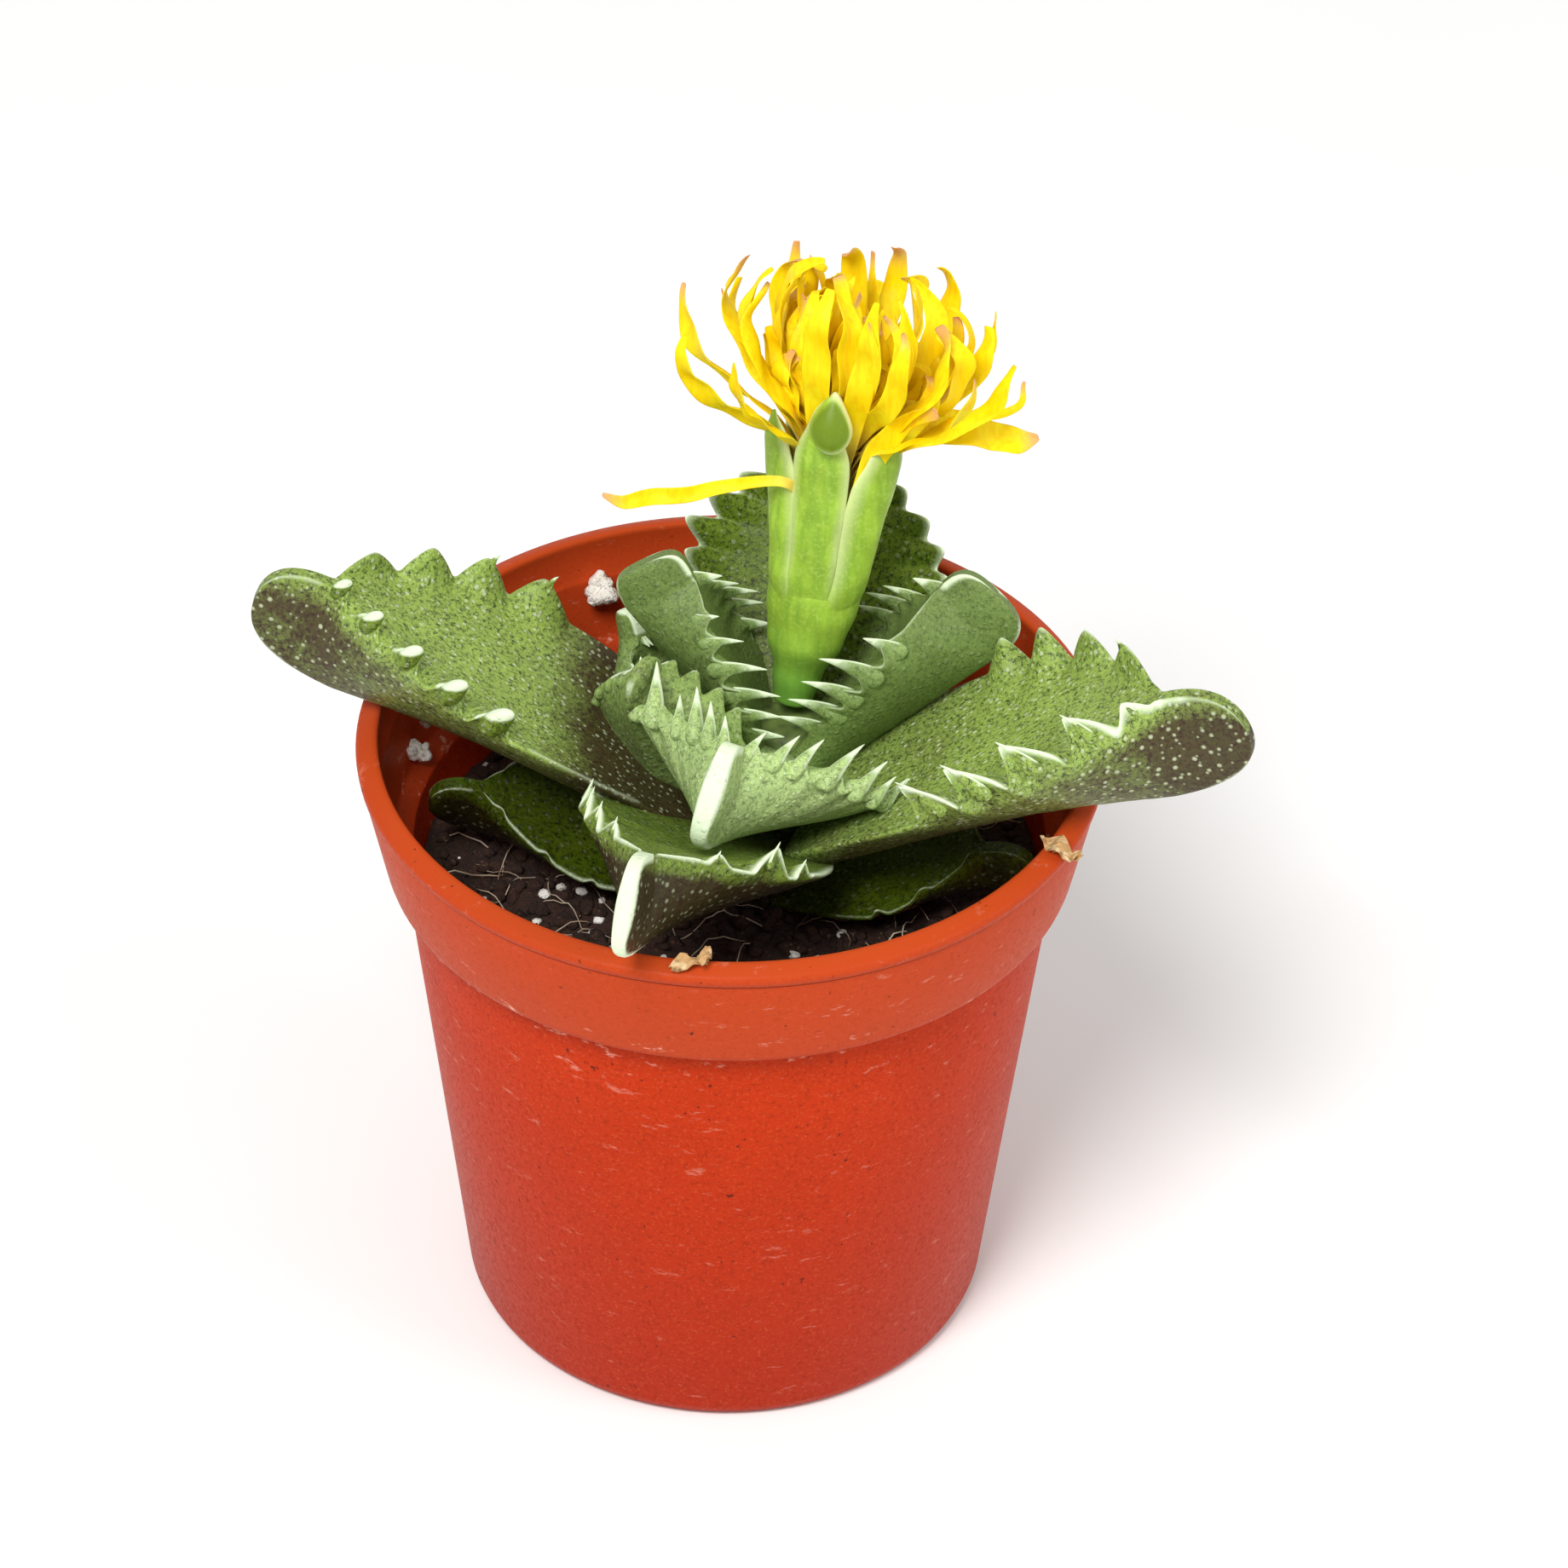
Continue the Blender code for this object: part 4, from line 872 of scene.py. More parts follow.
def leaf_skin_material(settings):
    """Waxy succulent skin: grainy olive green with raised pale dots, sides flushed purple brown,
    horny cream points and margins. The attributes pale, young, flush and tone come with the
    mesh; tone sets how light each leaf is drawn, partly its own lightness and partly painted
    shade and light for how the leaf is lit."""
    material, node, shader, place = new_material("waxy_succulent_skin")
    pale, young, flush, tone_and_shade = (node("Attribute", {}, "Fac", attribute_name=name)
                                for name in ("pale", "young", "flush", "tone_and_shade"))
    cloud, grain = (node("TexNoise", {"Vector": place, "Scale": 1 / size, "Detail": detail,
                                      "Roughness": rough}, "Fac")
                    for size, detail, rough in ((4 * MM, 4.0, 0.6), (0.42 * MM, 3.0, 0.7)))
    # The purple flush is uneven: clouds and grain move its edge.
    uneven = node("Math", {0: cloud, 1: 0.9, 2: flush}, operation="MULTIPLY_ADD")
    uneven = node("Math", {0: grain, 1: 0.5, 2: uneven}, operation="MULTIPLY_ADD")
    flushed = node("MapRange", {"Value": uneven, "From Min": 0.85, "From Max": 1.45,
                                "To Max": 0.88})
    # Raised dots of uneven size, a little under a millimetre apart, fainter on young leaves.
    cells = node("TexVoronoi", {"Vector": place, "Scale": 1 / settings.dot_spacing}).node
    chance = node("SeparateColor", {"Color": cells.outputs["Color"]}, "Red")
    reach = node("Math", {0: chance, 1: 0.2, 2: 0.2}, operation="MULTIPLY_ADD")
    inside = node("Math", {0: reach, 1: cells.outputs["Distance"]}, operation="SUBTRACT")
    dots = node("MapRange", {"Value": inside, "From Max": 0.18})
    clear = node("Math", {0: young, 1: -0.42, 2: 0.66}, operation="MULTIPLY_ADD")
    dotted = node("Math", {0: dots, 1: clear}, operation="MULTIPLY")
    # Darker cells between paler ones, also fainter there.
    depth = node("Math", {0: young, 1: -0.45, 2: 0.95}, operation="MULTIPLY_ADD")
    dark_cells = node("MapRange", {"Value": grain, "From Min": 0.46, "From Max": 0.64,
                                   "To Max": depth})
    color = coated(node, place, settings.green, [
        (young, settings.young), (dark_cells, "#2E421A"),
        ((0.16 * MM, 0.5, 0.68, 0.55, 2, 0.6), "#BACE7C"),
        (flushed, settings.purple), (dotted, "#C8D2AC")])
    # Painted shade and light: leaves lying in shade are drawn darker and greener, and lit ones
    # lighter.
    clouded = node("Math", {0: cloud, 1: 0.7, 2: 0.65}, operation="MULTIPLY_ADD")
    lightness = node("Math", {0: clouded, 1: tone_and_shade}, operation="MULTIPLY")
    richness = node("Math", {0: tone_and_shade, 1: -0.3, 2: 1.32}, operation="MULTIPLY_ADD")
    color = node("HueSaturation", {"Value": lightness, "Color": color, "Saturation": richness})
    # Horny margin, teeth and keel.
    horny = node("Math", {0: grain, 1: 0.35, 2: pale}, operation="MULTIPLY_ADD")
    edge = node("MapRange", {"Value": horny, "From Min": 0.47, "From Max": 0.87})
    relief = node("Math", {0: grain, 1: 0.9, 2: dots}, operation="MULTIPLY_ADD")
    shader({
        "Base Color": coated(node, place, color, [(edge, settings.pale)]),
        "Roughness": node("MapRange", {"Value": cloud, "From Min": 0.3, "From Max": 0.7,
                                       "To Min": 0.4, "To Max": 0.55}),
        "Specular IOR Level": 0.25, "Subsurface Weight": 0.1,
        "Subsurface Radius": (0.0008, 0.0016, 0.0004),
        "Normal": node("Bump", {"Height": relief, "Distance": 0.09 * MM, "Strength": 0.7})})
    return material


def leaf_piece(leaf, material, scale):
    """One leaf: a grid rolled round its sections, its margins drawn up into toothed lobes."""
    shares = leaf_shares(leaf)
    frames = leaf_frames(leaf, shares)
    teeth = leaf_teeth(leaf, scale)
    young, apex = leaf["young"], leaf["apex"]
    band = leaf["band"] * MM
    # A keel that is pale from far back ends in a fully pale nose.
    long_keel = leaf["keel_from"] < apex - 0.05
    band_pale = leaf["nose_pale"] * (1.0 if long_keel else 0.35)
    work, layers = new_mesh("pale", "young", "flush", "tone_and_shade")

    def place(column, row):
        share = shares[row]
        origin, along, up, right = frames[row]
        kind, where, side = SECTION[column % len(SECTION)]
        lobed = side in leaf["lobed"]
        width = leaf_half_width(leaf, share)
        top, bottom = leaf_top(leaf, share), leaf_bottom(leaf, share)
        keel = keel_width(leaf, share) * (0.7 + 0.3 * smooth(share, apex, 1.0))
        closing = min(1.0, max(0.0, width - band) / (2 * MM))
        # The rim's thickness ends at once, so that no sliver is left at its end.
        closing = closing if closing > 0.04 else 0.0
        round_root = max(0.0, 1 - 2 * share)
        bulge = (SIDE_BULGE + 1.6 * MM * round_root) * superellipse((share - 0.5) / 0.5)
        dish = DISH * math.sin(math.pi * min(1.0, share / apex))
        rise, up_tooth, far_flank = (tooth_rise(leaf, teeth[side], share) if side
                                     else (0.0, 0.0, False))
        dip = margin_dip(teeth[side], share, up_tooth) if side else 0.0
        # Nothing rises from a margin that has no thickness left.
        firm = min(1.0, 10 * closing)
        rise, dip = rise * firm, dip * firm
        nose = smooth(share, apex - 0.02, apex + 0.02)
        end = smooth(share, 0.3 * apex + 0.7, 1.0)
        keeled = smooth(share, leaf["keel_from"] - 0.12, leaf["keel_from"] + 0.06)
        keeled *= 1.0 if long_keel else 0.6 * (1 - 0.7 * end)
        lift = depth = pale = 0.0
        if kind == "keel":
            across, height = 0.0, bottom - 0.1 * MM * min(1.0, (1 - share) * 8)
            pale, depth = keeled, 1.0
        elif kind == "side":
            across = side * (width * (1 - where) + keel * where + bulge * 4 * where * (1 - where))
            height = top + (bottom - top) * where
            lift = (rise - dip) * max(0.0, 0.5 - where * 2.2)
            depth = where
            if where >= 0.95:
                pale = (0.9 if where == 1.0 else 0.35) * keeled
            pale = max(pale, 0.95 * end * band_pale)
        elif kind == "rim":
            thick = RIM_THICK * (1 - (0.2 if lobed else 0.6) * up_tooth) * closing
            offset = (0.35, 0.0, -1.0)[where] * thick - 0.35 * MM * up_tooth * closing
            offset += leaf["splay"] * rise * (1.0 if lobed else up_tooth)
            across = side * (width + offset)
            height = top + (-0.6, 0.3, -0.1)[where] * thick
            lift = (rise - dip) * (0.84, 1.0, 0.86)[where]
            margin = smooth(share, 0.1, 0.35)
            pale = (0.3, 0.85, 0.4)[where] * margin * leaf["line"]
            if lobed:
                toothed = (0.2, 1.0, 0.3)[where] * (0.45 + 0.6 * leaf["line"]) * up_tooth ** 1.5
            elif young < 0.5:
                fade = (0.0, 0.4) if far_flank else (0.45, 0.9)
                toothed = (0.35, 0.95, 0.3)[where] * smooth(up_tooth, *fade)
            else:
                toothed = (0.4, 0.8, 0.5)[where] * up_tooth ** 3
            if not lobed:
                toothed *= smooth(rise, 0.0, 0.8 * MM)
            pale = max(pale, toothed, 0.95 * nose * leaf["nose_pale"])
            ridge_side, start, stop, strength = leaf["ridge"]
            if ridge_side == side:
                raised = (smooth(share, start, start + 0.04)
                          * (1 - smooth(share, stop, stop + 0.04)))
                pale = max(pale, (0.6, 1.0, 0.7)[where] * raised * strength)
                height += (0.2, 0.35, 0.2)[where] * MM * raised * firm
        else:
            across = where * (width - RIM_THICK * closing)
            height = top - dish * (1 - where * where) * closing
            near = max(0.0, (abs(where) - 0.6) / 0.4)
            row_teeth = teeth[1 if where > 0 else -1]
            rim_rise, rim_tooth, _ = tooth_rise(leaf, row_teeth, share)
            lift = firm * (rim_rise - margin_dip(row_teeth, share, rim_tooth)) * near * (
                0.25 * near if row_teeth[0][3] else 0.45)
            pale = max(rim_tooth ** 3 * near * 0.3, 0.95 * nose * band_pale)
        curl = 0.0
        if rise:
            curl = TOOTH_HOOK * rise * (
                -0.6 if lobed else up_tooth * (0.75 + 0.25 * up_tooth if kind == "rim" else 0.3))
        point = origin + right * across + up * (height + lift) - along * curl
        wave = noise.noise(point / (5 * MM)) * 0.25 * MM * closing * (1 - up_tooth)
        point = point + up * wave * (1.0 if kind == "top" else 0.3)
        start = leaf["flush_from"]
        sides = smooth(depth, 0.05, 0.3) * (0.6 + 0.4 * smooth(share, start, start + 0.3))
        tip = 0.5 * smooth(share, apex - 0.1, 1.0)
        root = leaf["root_flush"] * (1 - smooth(share, 0.25, 0.52)) * (1 - young)
        flush = max(leaf["flush"] * min(1.0, sides + tip), root)
        return point, (min(1.0, pale), young, flush, leaf["tone_and_shade"])

    shaped_grid(work, len(SECTION), len(shares) - 1, place, layers)
    for side, row in teeth.items():
        for k, tooth in enumerate(row):
            _, tall, _, lobed = tooth
            if (k in leaf["points"] if lobed else tall > SMALLEST_POINT):
                tooth_spike(work, layers, leaf, tooth, side)
    close_up(work)
    piece = add_piece(work, leaf["name"] + "_skin", material, 1)
    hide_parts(leaf["name"])


class TIGERJAWS_OT_leaves(bpy.types.Operator):
    """Rolls out the twelve leaves with their teeth, pale margins, keels and dots"""

    bl_idname = "tigerjaws.leaves"
    bl_label = "Leaves"

    def execute(self, context):
        settings = context.scene.tiger_jaws_leaves
        material = leaf_skin_material(settings)
        for leaf in LEAVES:
            leaf_piece(LEAF_DEFAULTS | leaf, material, settings.tooth_scale)
        return {"FINISHED"}


# Stem.

STEM_FOOT = Vector((3.2, 1.6, 32.0)) * MM
STEM_TOP = Vector((4.8, 5.2, 57.4)) * MM
STEM_RADII = (3.8 * MM, 3.4 * MM)
STEM_STEPS = (32, 14)


class TIGERJAWS_OT_stem(bpy.types.Operator):
    """Makes the short rootstock under the crown"""

    bl_idname = "tigerjaws.stem"
    bl_label = "Stem"

    def execute(self, context):
        # Green living bark, wrinkled across.
        material = dull_material("fleshy_rootstock", "#3E4A22",
                                 [((1.5 * MM, 0.3, 0.7, 1.0, 4), "#7E9448")], 0.6)
        work = bmesh.new()
        columns, rows = STEM_STEPS

        def bark(column, row):
            share = min(1.0, row / rows)
            centre = STEM_FOOT.lerp(STEM_TOP, share)
            radius = STEM_RADII[0] + (STEM_RADII[1] - STEM_RADII[0]) * share
            radius *= 0.0 if row in (0, rows + 1) else (1.0 - 0.1 * smooth(share, 0.9, 1.0))
            angle = math.tau * column / columns
            wrinkle = 1.0 + 0.03 * math.sin(share * 40)
            return centre + Vector((math.cos(angle), math.sin(angle), 0)) * radius * wrinkle, ()

        shaped_grid(work, columns, rows + 1, bark)
        close_up(work)
        stem = add_piece(work, "rootstock", material, 1)
        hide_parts("stem")
        return {"FINISHED"}


# Flower.

FLOWER_BASE = Vector((5.2, 6.2, 58.3)) * MM
FLOWER_AXIS = Vector((0.175, 0.25, 0.95)).normalized()
CUP_SWAY = Vector((-0.08, 0.0, 0.0))
# The tube: heights and radii in mm.
TUBE_RINGS = [(0.0, 1.7), (3.0, 2.2), (6.5, 3.4), (10.0, 4.0), (14.0, 4.3)]
TUBE_TOP = TUBE_RINGS[-1][0]
# Steps round each form and along it.
TUBE_STEPS = (48, 30)
HOOD_STEPS = (28, 10)
CUP_STEPS = (66, 12)
SEPAL_STEPS = 22
SEPALS = 5
# The front sepal's direction in degrees.
SEPAL_FIRST = 262
SEPAL_ROOT = 10.5 * MM
SEPAL_SUNK = 3.0 * MM
# The front sepal's hood: its middle as radius in mm, angle in degrees and height in mm, half of
# its width in degrees and of its height in mm, and how far it bulges.
HOOD_PLACE = (6.2, 262.0, 28.8)
HOOD_SIZE = (18.0, 3.0)
HOOD_BULGE = 1.9 * MM
# Each sepal's own turn in degrees and its width's share; the first is the front one.
SEPAL_OWN = [(-7.0, 0.84), (-7.0, 1.2), (0.0, 1.0), (0.0, 1.0), (3.0, 1.08)]
SEPAL_LENGTH = 20.3 * MM
SHORT_SEPAL = 0.82
SEPAL_SPREAD = 1.6 * MM
SEPAL_THICKNESS = 1.1 * MM
# Along a sepal: place, radius in mm and half-width in degrees.
SEPAL_ROWS = [(0.0, 3.0, 37.5), (0.3, 3.3, 38.0), (0.55, 3.6, 38.5), (0.75, 4.0, 35.0),
              (0.92, 4.1, 24.0), (1.0, 4.4, 3.0)]
# Round a sepal's section: share of the half-width, and 1 outside or 0 inside.
SEPAL_SECTION = [(-1, 0.5), (-0.92, 0.9), (-0.55, 1), (-0.2, 1), (0, 1), (0.2, 1), (0.55, 1),
                 (0.92, 0.9), (1, 0.5), (0.8, 0), (0.4, 0), (0, 0), (-0.4, 0), (-0.8, 0)]
# Steps across a petal and along it.
PETAL_STEPS = (4, 22)
# A petal leans out over this share of its length and then curls, late at a high power.
SPREAD_SHARE = 0.45
CURL_POWER = 2.3
# The most that a petal runs sideways.
PETAL_TURN = 0.3
# Layers: count, root radius and height in mm, first and widest lean in degrees, what the right
# side leans more, last lean, length and width in mm.
PETAL_LAYERS = [
    (13, 1.9, 5.5, 15, 62, -14, -10, 22.5, 2.2),
    (12, 1.6, 6.0, 10, 42, 8, -75, 23.0, 2.3),
    (8, 0.9, 6.5, 6, 26, 12, -95, 22.0, 2.2),
]
# What the left side leans more, in degrees.
LEFT_LEAN = 5
# Within this arc round the front sepal, in degrees, no petal leans further out than this.
HOOD_ARC = 34
HOOD_LEAN = 26
# The single petals that stand out: which way each faces, its widths in mm, and its points as
# direction in degrees, radius and height in mm.
SINGLE_PETALS = [
    ((0.1, -0.8, 0.6), (0.9, 0.9, 0.9, 1.0, 1.2, 1.4, 1.5, 1.3, 0.4),
     [(226, 1.8, 17.0), (226, 4.0, 20.4), (226, 5.9, 21.8), (214, 7.3, 21.5), (204, 10.2, 20.4),
      (198, 12.7, 19.1), (194, 15.4, 18.0), (191, 17.8, 17.2), (190, 19.8, 17.3)]),
    ((0.3, -0.8, 0.3), (1.2, 1.9, 2.3, 2.4, 2.0, 1.0),
     [(296, 3.2, 15.5), (298, 4.3, 19.5), (302, 5.0, 23.5), (306, 6.0, 27.0), (312, 8.0, 30.0),
      (318, 10.5, 31.8)]),
    ((-0.1, -0.7, 0.7), (1.2, 1.4, 1.8, 2.1, 2.4, 2.5, 2.5, 2.3, 0.6),
     [(340, 1.4, 21.0), (340, 2.4, 26.0), (341, 4.4, 28.2), (342, 6.8, 28.4), (344, 9.2, 28.4),
      (347, 11.6, 28.8), (350, 13.7, 28.8), (352, 15.8, 28.7), (353, 17.2, 29.3)]),
    ((0.0, -0.7, 0.7), (1.2, 1.2, 1.1, 0.9, 0.8, 0.7, 0.3),
     [(0, 1.6, 21.5), (0, 3.0, 26.5), (0, 5.8, 29.2), (3, 9.9, 28.9), (6, 13.8, 29.3),
      (8, 15.6, 30.4), (8, 15.8, 32.7)]),
]
EXTRA_PETALS = 56


def flower_frame():
    """Directions to the right and away from the viewer, square to the flower's axis."""
    across = Vector((1.0, 0.0, 0.0))
    across = (across - FLOWER_AXIS * across.dot(FLOWER_AXIS)).normalized()
    return across, FLOWER_AXIS.cross(across)


def flower_point(radius, angle, height):
    """A point round the flower's axis, which sways to the left over the tube."""
    across, away = flower_frame()
    direction = across * math.cos(angle) + away * math.sin(angle)
    sway = CUP_SWAY * max(0.0, height - TUBE_TOP * MM)
    return FLOWER_BASE + direction * radius + FLOWER_AXIS * height + sway


def along_rows(rows, share):
    """Values between the rows of a table whose first column is the place."""
    for before, after in zip(rows, rows[1:]):
        if share <= after[0]:
            part = smooth(share, before[0], after[0])
            return [a + (b - a) * part for a, b in zip(before[1:], after[1:])]
    return list(rows[-1][1:])


def calyx_material(settings):
    """Fleshy flower tube: fresh yellow green, darker speckled tips, thin pale sepal edges; the
    hood's dark middle is partly painted shade.
    """
    material, node, shader, place = new_material("fleshy_flower_tube")
    tip, edge, foot = (node("Attribute", {}, "Fac", attribute_name=name)
                       for name in ("tip", "edge", "foot"))
    stretched = node("Mapping", {"Vector": place, "Scale": (1.0, 1.0, 0.12)})
    veins = patches(node, stretched, 0.7 * MM, 0.4, 0.7, 0.5, 2)
    base = settings.sepal
    shader({
        "Base Color": coated(node, place, [value * 0.8 for value in base], [
            ((3 * MM, 0.3, 0.7), [min(1.0, value * 1.25) for value in base]),
            (veins, "#6F9A33"), ((0.35 * MM, 0.5, 0.68, 0.3, 2, 0.6), "#C9E070"),
            (foot, "#5F9A3C"), (tip, "#667E16"), (edge, "#E6ECB4")]),
        "Roughness": 0.42, "IOR": 1.42, "Specular IOR Level": 0.3,
        "Subsurface Weight": 0.2, "Subsurface Radius": (0.001, 0.0016, 0.0004),
        "Normal": node("Bump", {"Height": veins, "Distance": 0.08 * MM, "Strength": 0.5})})
    return material


class TIGERJAWS_OT_calyx(bpy.types.Operator):
    """Rolls the flower tube and its five keeled sepals"""

    bl_idname = "tigerjaws.calyx"
    bl_label = "Flower tube"

    def execute(self, context):
        work, layers = new_mesh("tip", "edge", "foot")
        tube_columns, tube_rows = TUBE_STEPS
        hood_columns, hood_rows = HOOD_STEPS

        def tube(column, row):
            angle = math.tau * column / tube_columns
            height = min(1.0, row / tube_rows) * TUBE_TOP
            radius = along_rows(TUBE_RINGS, height)[0] - 1.3 * smooth(height, 11.0, TUBE_TOP)
            ribs = math.cos(SEPALS * (angle - math.radians(SEPAL_FIRST)))
            radius *= 1.0 + 0.035 * ribs * smooth(height, 3, 9)
            if row > tube_rows:
                radius = 0.0
            foot = 0.75 * (1.0 - smooth(height, 1.0, 9.0))
            return flower_point(radius * MM, angle, height * MM), (0.0, 0.0, foot)

        shaped_grid(work, tube_columns, tube_rows + 1, tube, layers)
        for k, (turn, own_width) in enumerate(SEPAL_OWN):
            front = k == 0
            middle = math.radians(SEPAL_FIRST + 360 / SEPALS * k + turn)
            length = SEPAL_LENGTH * (1.0 if front else SHORT_SEPAL)

            def sepal(column, row):
                share = math.sin(math.pi / 2 * row / SEPAL_STEPS)
                radius, half_width = along_rows(SEPAL_ROWS, share)
                half_width *= own_width * (1 - (0.45 if front else 0.0) * smooth(share, 0.7, 0.95))
                across, outside = SEPAL_SECTION[column % len(SEPAL_SECTION)]
                height = SEPAL_ROOT - SEPAL_SUNK + (length + SEPAL_SUNK) * share
                inner = radius * MM + SEPAL_SPREAD * share * share * length / SEPAL_LENGTH
                groove = (0.2 if front else 0.5) * abs(across) ** 2 * smooth(share, 0.18, 0.42)
                thick = SEPAL_THICKNESS * (1 - groove) * smooth(1 - share, -0.02, 0.12)
                keel = 0.35 * MM * max(0.0, 1 - abs(across) * 3.2) if outside == 1 else 0.0
                keel *= smooth(share, 0.12, 0.4)
                start = 0.15 + 0.85 * smooth(share, 0.0, 0.25)
                distance = inner + (thick + keel) * outside * start
                point = flower_point(distance, middle + math.radians(half_width) * across, height)
                edge = 0.8 * smooth(abs(across), 0.8, 1.0) * smooth(share, 0.1, 0.4)
                return point, (smooth(share, 0.72, 0.92) * (0.15 if front else 0.45), edge, 0.0)

            shaped_grid(work, len(SEPAL_SECTION), SEPAL_STEPS, sepal, layers)

        def hood(column, row):
            # The first rows are its dome, fullest low down; the last three close its back.
            out = min(row / hood_rows, (hood_rows + 3 - row) / 3)
            angle = math.tau * column / hood_columns
            bulge = math.sqrt(max(0.0, 1 - out * out)) * (1.0 - 0.35 * out * math.sin(angle))
            bulge *= 1.0 if row <= hood_rows else -0.4
            wide = out * math.cos(angle) * (1.0 - 0.55 * smooth(out * math.sin(angle), -0.3, 1.0))
            point = flower_point(HOOD_PLACE[0] * MM + HOOD_BULGE * bulge,
                                 math.radians(HOOD_PLACE[1] + HOOD_SIZE[0] * wide),
                                 (HOOD_PLACE[2] + HOOD_SIZE[1] * out * math.sin(angle)) * MM)
            edge = smooth(out, 0.75, 0.85) * smooth(math.cos(angle), -0.7, 0.0)
            # The hood's middle is painted dark olive, fading towards its rim: partly the sepal's
            # dark tip, partly painted shade on the dome.
            return point, (0.9 * (1 - smooth(out, 0.6, 0.9)), edge, 0.0)

        shaped_grid(work, hood_columns, hood_rows + 3, hood, layers)
        close_up(work)
        material = calyx_material(context.scene.tiger_jaws_flower)
        calyx = add_piece(work, "flower_tube", material, 1)
        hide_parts("flower_calyx")
        return {"FINISHED"}


def petal_material(settings):
    """Silky petal: glowing yellow with fine lengthwise streaks of deeper orange yellow, partly its
    veins and partly painted shade of the folds between petals, tips dried tan."""
    material, node, shader, place = new_material("silky_strap_petal")
    root, dry = (node("Attribute", {}, "Fac", attribute_name=name) for name in ("root", "dry"))
    stretched = node("Mapping", {"Vector": place, "Scale": (1.0, 1.0, 0.15)})
    veins = patches(node, stretched, 0.45 * MM, 0.42, 0.68, 0.4, 2)
    shader({
        "Base Color": coated(node, place, [value * 0.92 for value in settings.petal], [
            # Deeper orange streaks: partly veins, partly painted shade of the folds between
            # petals.
            ((3.5 * MM, 0.35, 0.65), "#FFE81A"), (veins, "#F5B400"), (root, "#F0D468"),
            (dry, settings.dried)]),
        "Roughness": 0.5, "Specular IOR Level": 0.15,
        "Subsurface Weight": 0.2, "Subsurface Radius": (0.0012, 0.001, 0.0001),
        "Normal": node("Bump", {"Height": veins, "Distance": 0.06 * MM, "Strength": 0.7})})
    return material


def petal_blade(work, layers, path, widths, facing, draw, dry_from, twist=0.0):
    """A thin gutter-shaped strap along a path; its edges wave a little."""
    columns, rows = PETAL_STEPS[0], len(path) - 1
    wave = draw.uniform(0, math.tau)

    def place(column, row):
        along = (path[min(row + 1, rows)] - path[max(row - 1, 0)]).normalized()
        out = (facing - along * facing.dot(along)).normalized()
        out = Matrix.Rotation(twist * row / rows, 3, along) @ out
        across = 2 * column / columns - 1
        side = along.cross(out)
        gutter = 0.13 * widths[row] * across * across
        ripple = 0.2 * widths[row] * math.sin(row * 1.1 + wave + across) * row / rows
        share = row / rows
        dry = smooth(share, dry_from, min(1.0, dry_from + 0.2)) if dry_from < 1 else 0.0
        root = 1.0 - smooth(share, 0.1, 0.45)
        crimp = noise.noise_vector(path[row] / (2.0 * MM)) * 0.5 * MM * smooth(share, 0.4, 1.0)
        point = path[row] + side * across * widths[row] * 0.5 + out * (gutter + ripple) + crimp
        return point, (root, dry)

    shaped_grid(work, columns, rows, place, layers)


def petal_path(angle, root, leans, length, turn):
    """The way a petal runs: up from the core, out over the sepals, and curled in at its tip."""
    across, away = flower_frame()
    axis = (FLOWER_AXIS + CUP_SWAY).normalized()
    outward = across * math.cos(angle) + away * math.sin(angle)
    sideways = axis.cross(outward)
    place = flower_point(root[0], angle, root[1])
    path = [place]
    first, widest, last = leans
    steps = PETAL_STEPS[1]
    for k in range(steps):
        middle = (k + 0.5) / steps
        rise = min(1.0, middle / SPREAD_SHARE)
        curl = max(0.0, (middle - SPREAD_SHARE) / (1 - SPREAD_SHARE)) ** CURL_POWER
        lean = math.radians(first + (widest - first) * rise * rise * (3 - 2 * rise)
                            + (last - widest) * curl)
        along = axis * math.cos(lean) + outward * math.sin(lean) + sideways * turn * middle
        place = place + along.normalized() * length / steps
        path.append(place)
    return path, outward + sideways * turn


def spline(points, per_step=3):
    """A smooth way through the points."""
    out = []
    for k in range(len(points) - 1):
        before = points[max(0, k - 1)]
        start, end = points[k], points[k + 1]
        after = points[min(len(points) - 1, k + 2)]
        for j in range(per_step):
            t = j / per_step
            out.append(0.5 * ((2 * start) + (end - before) * t
                              + (2 * before - 5 * start + 4 * end - after) * t * t
                              + (3 * start - before - 3 * end + after) * t * t * t))
    return out + [points[-1]]


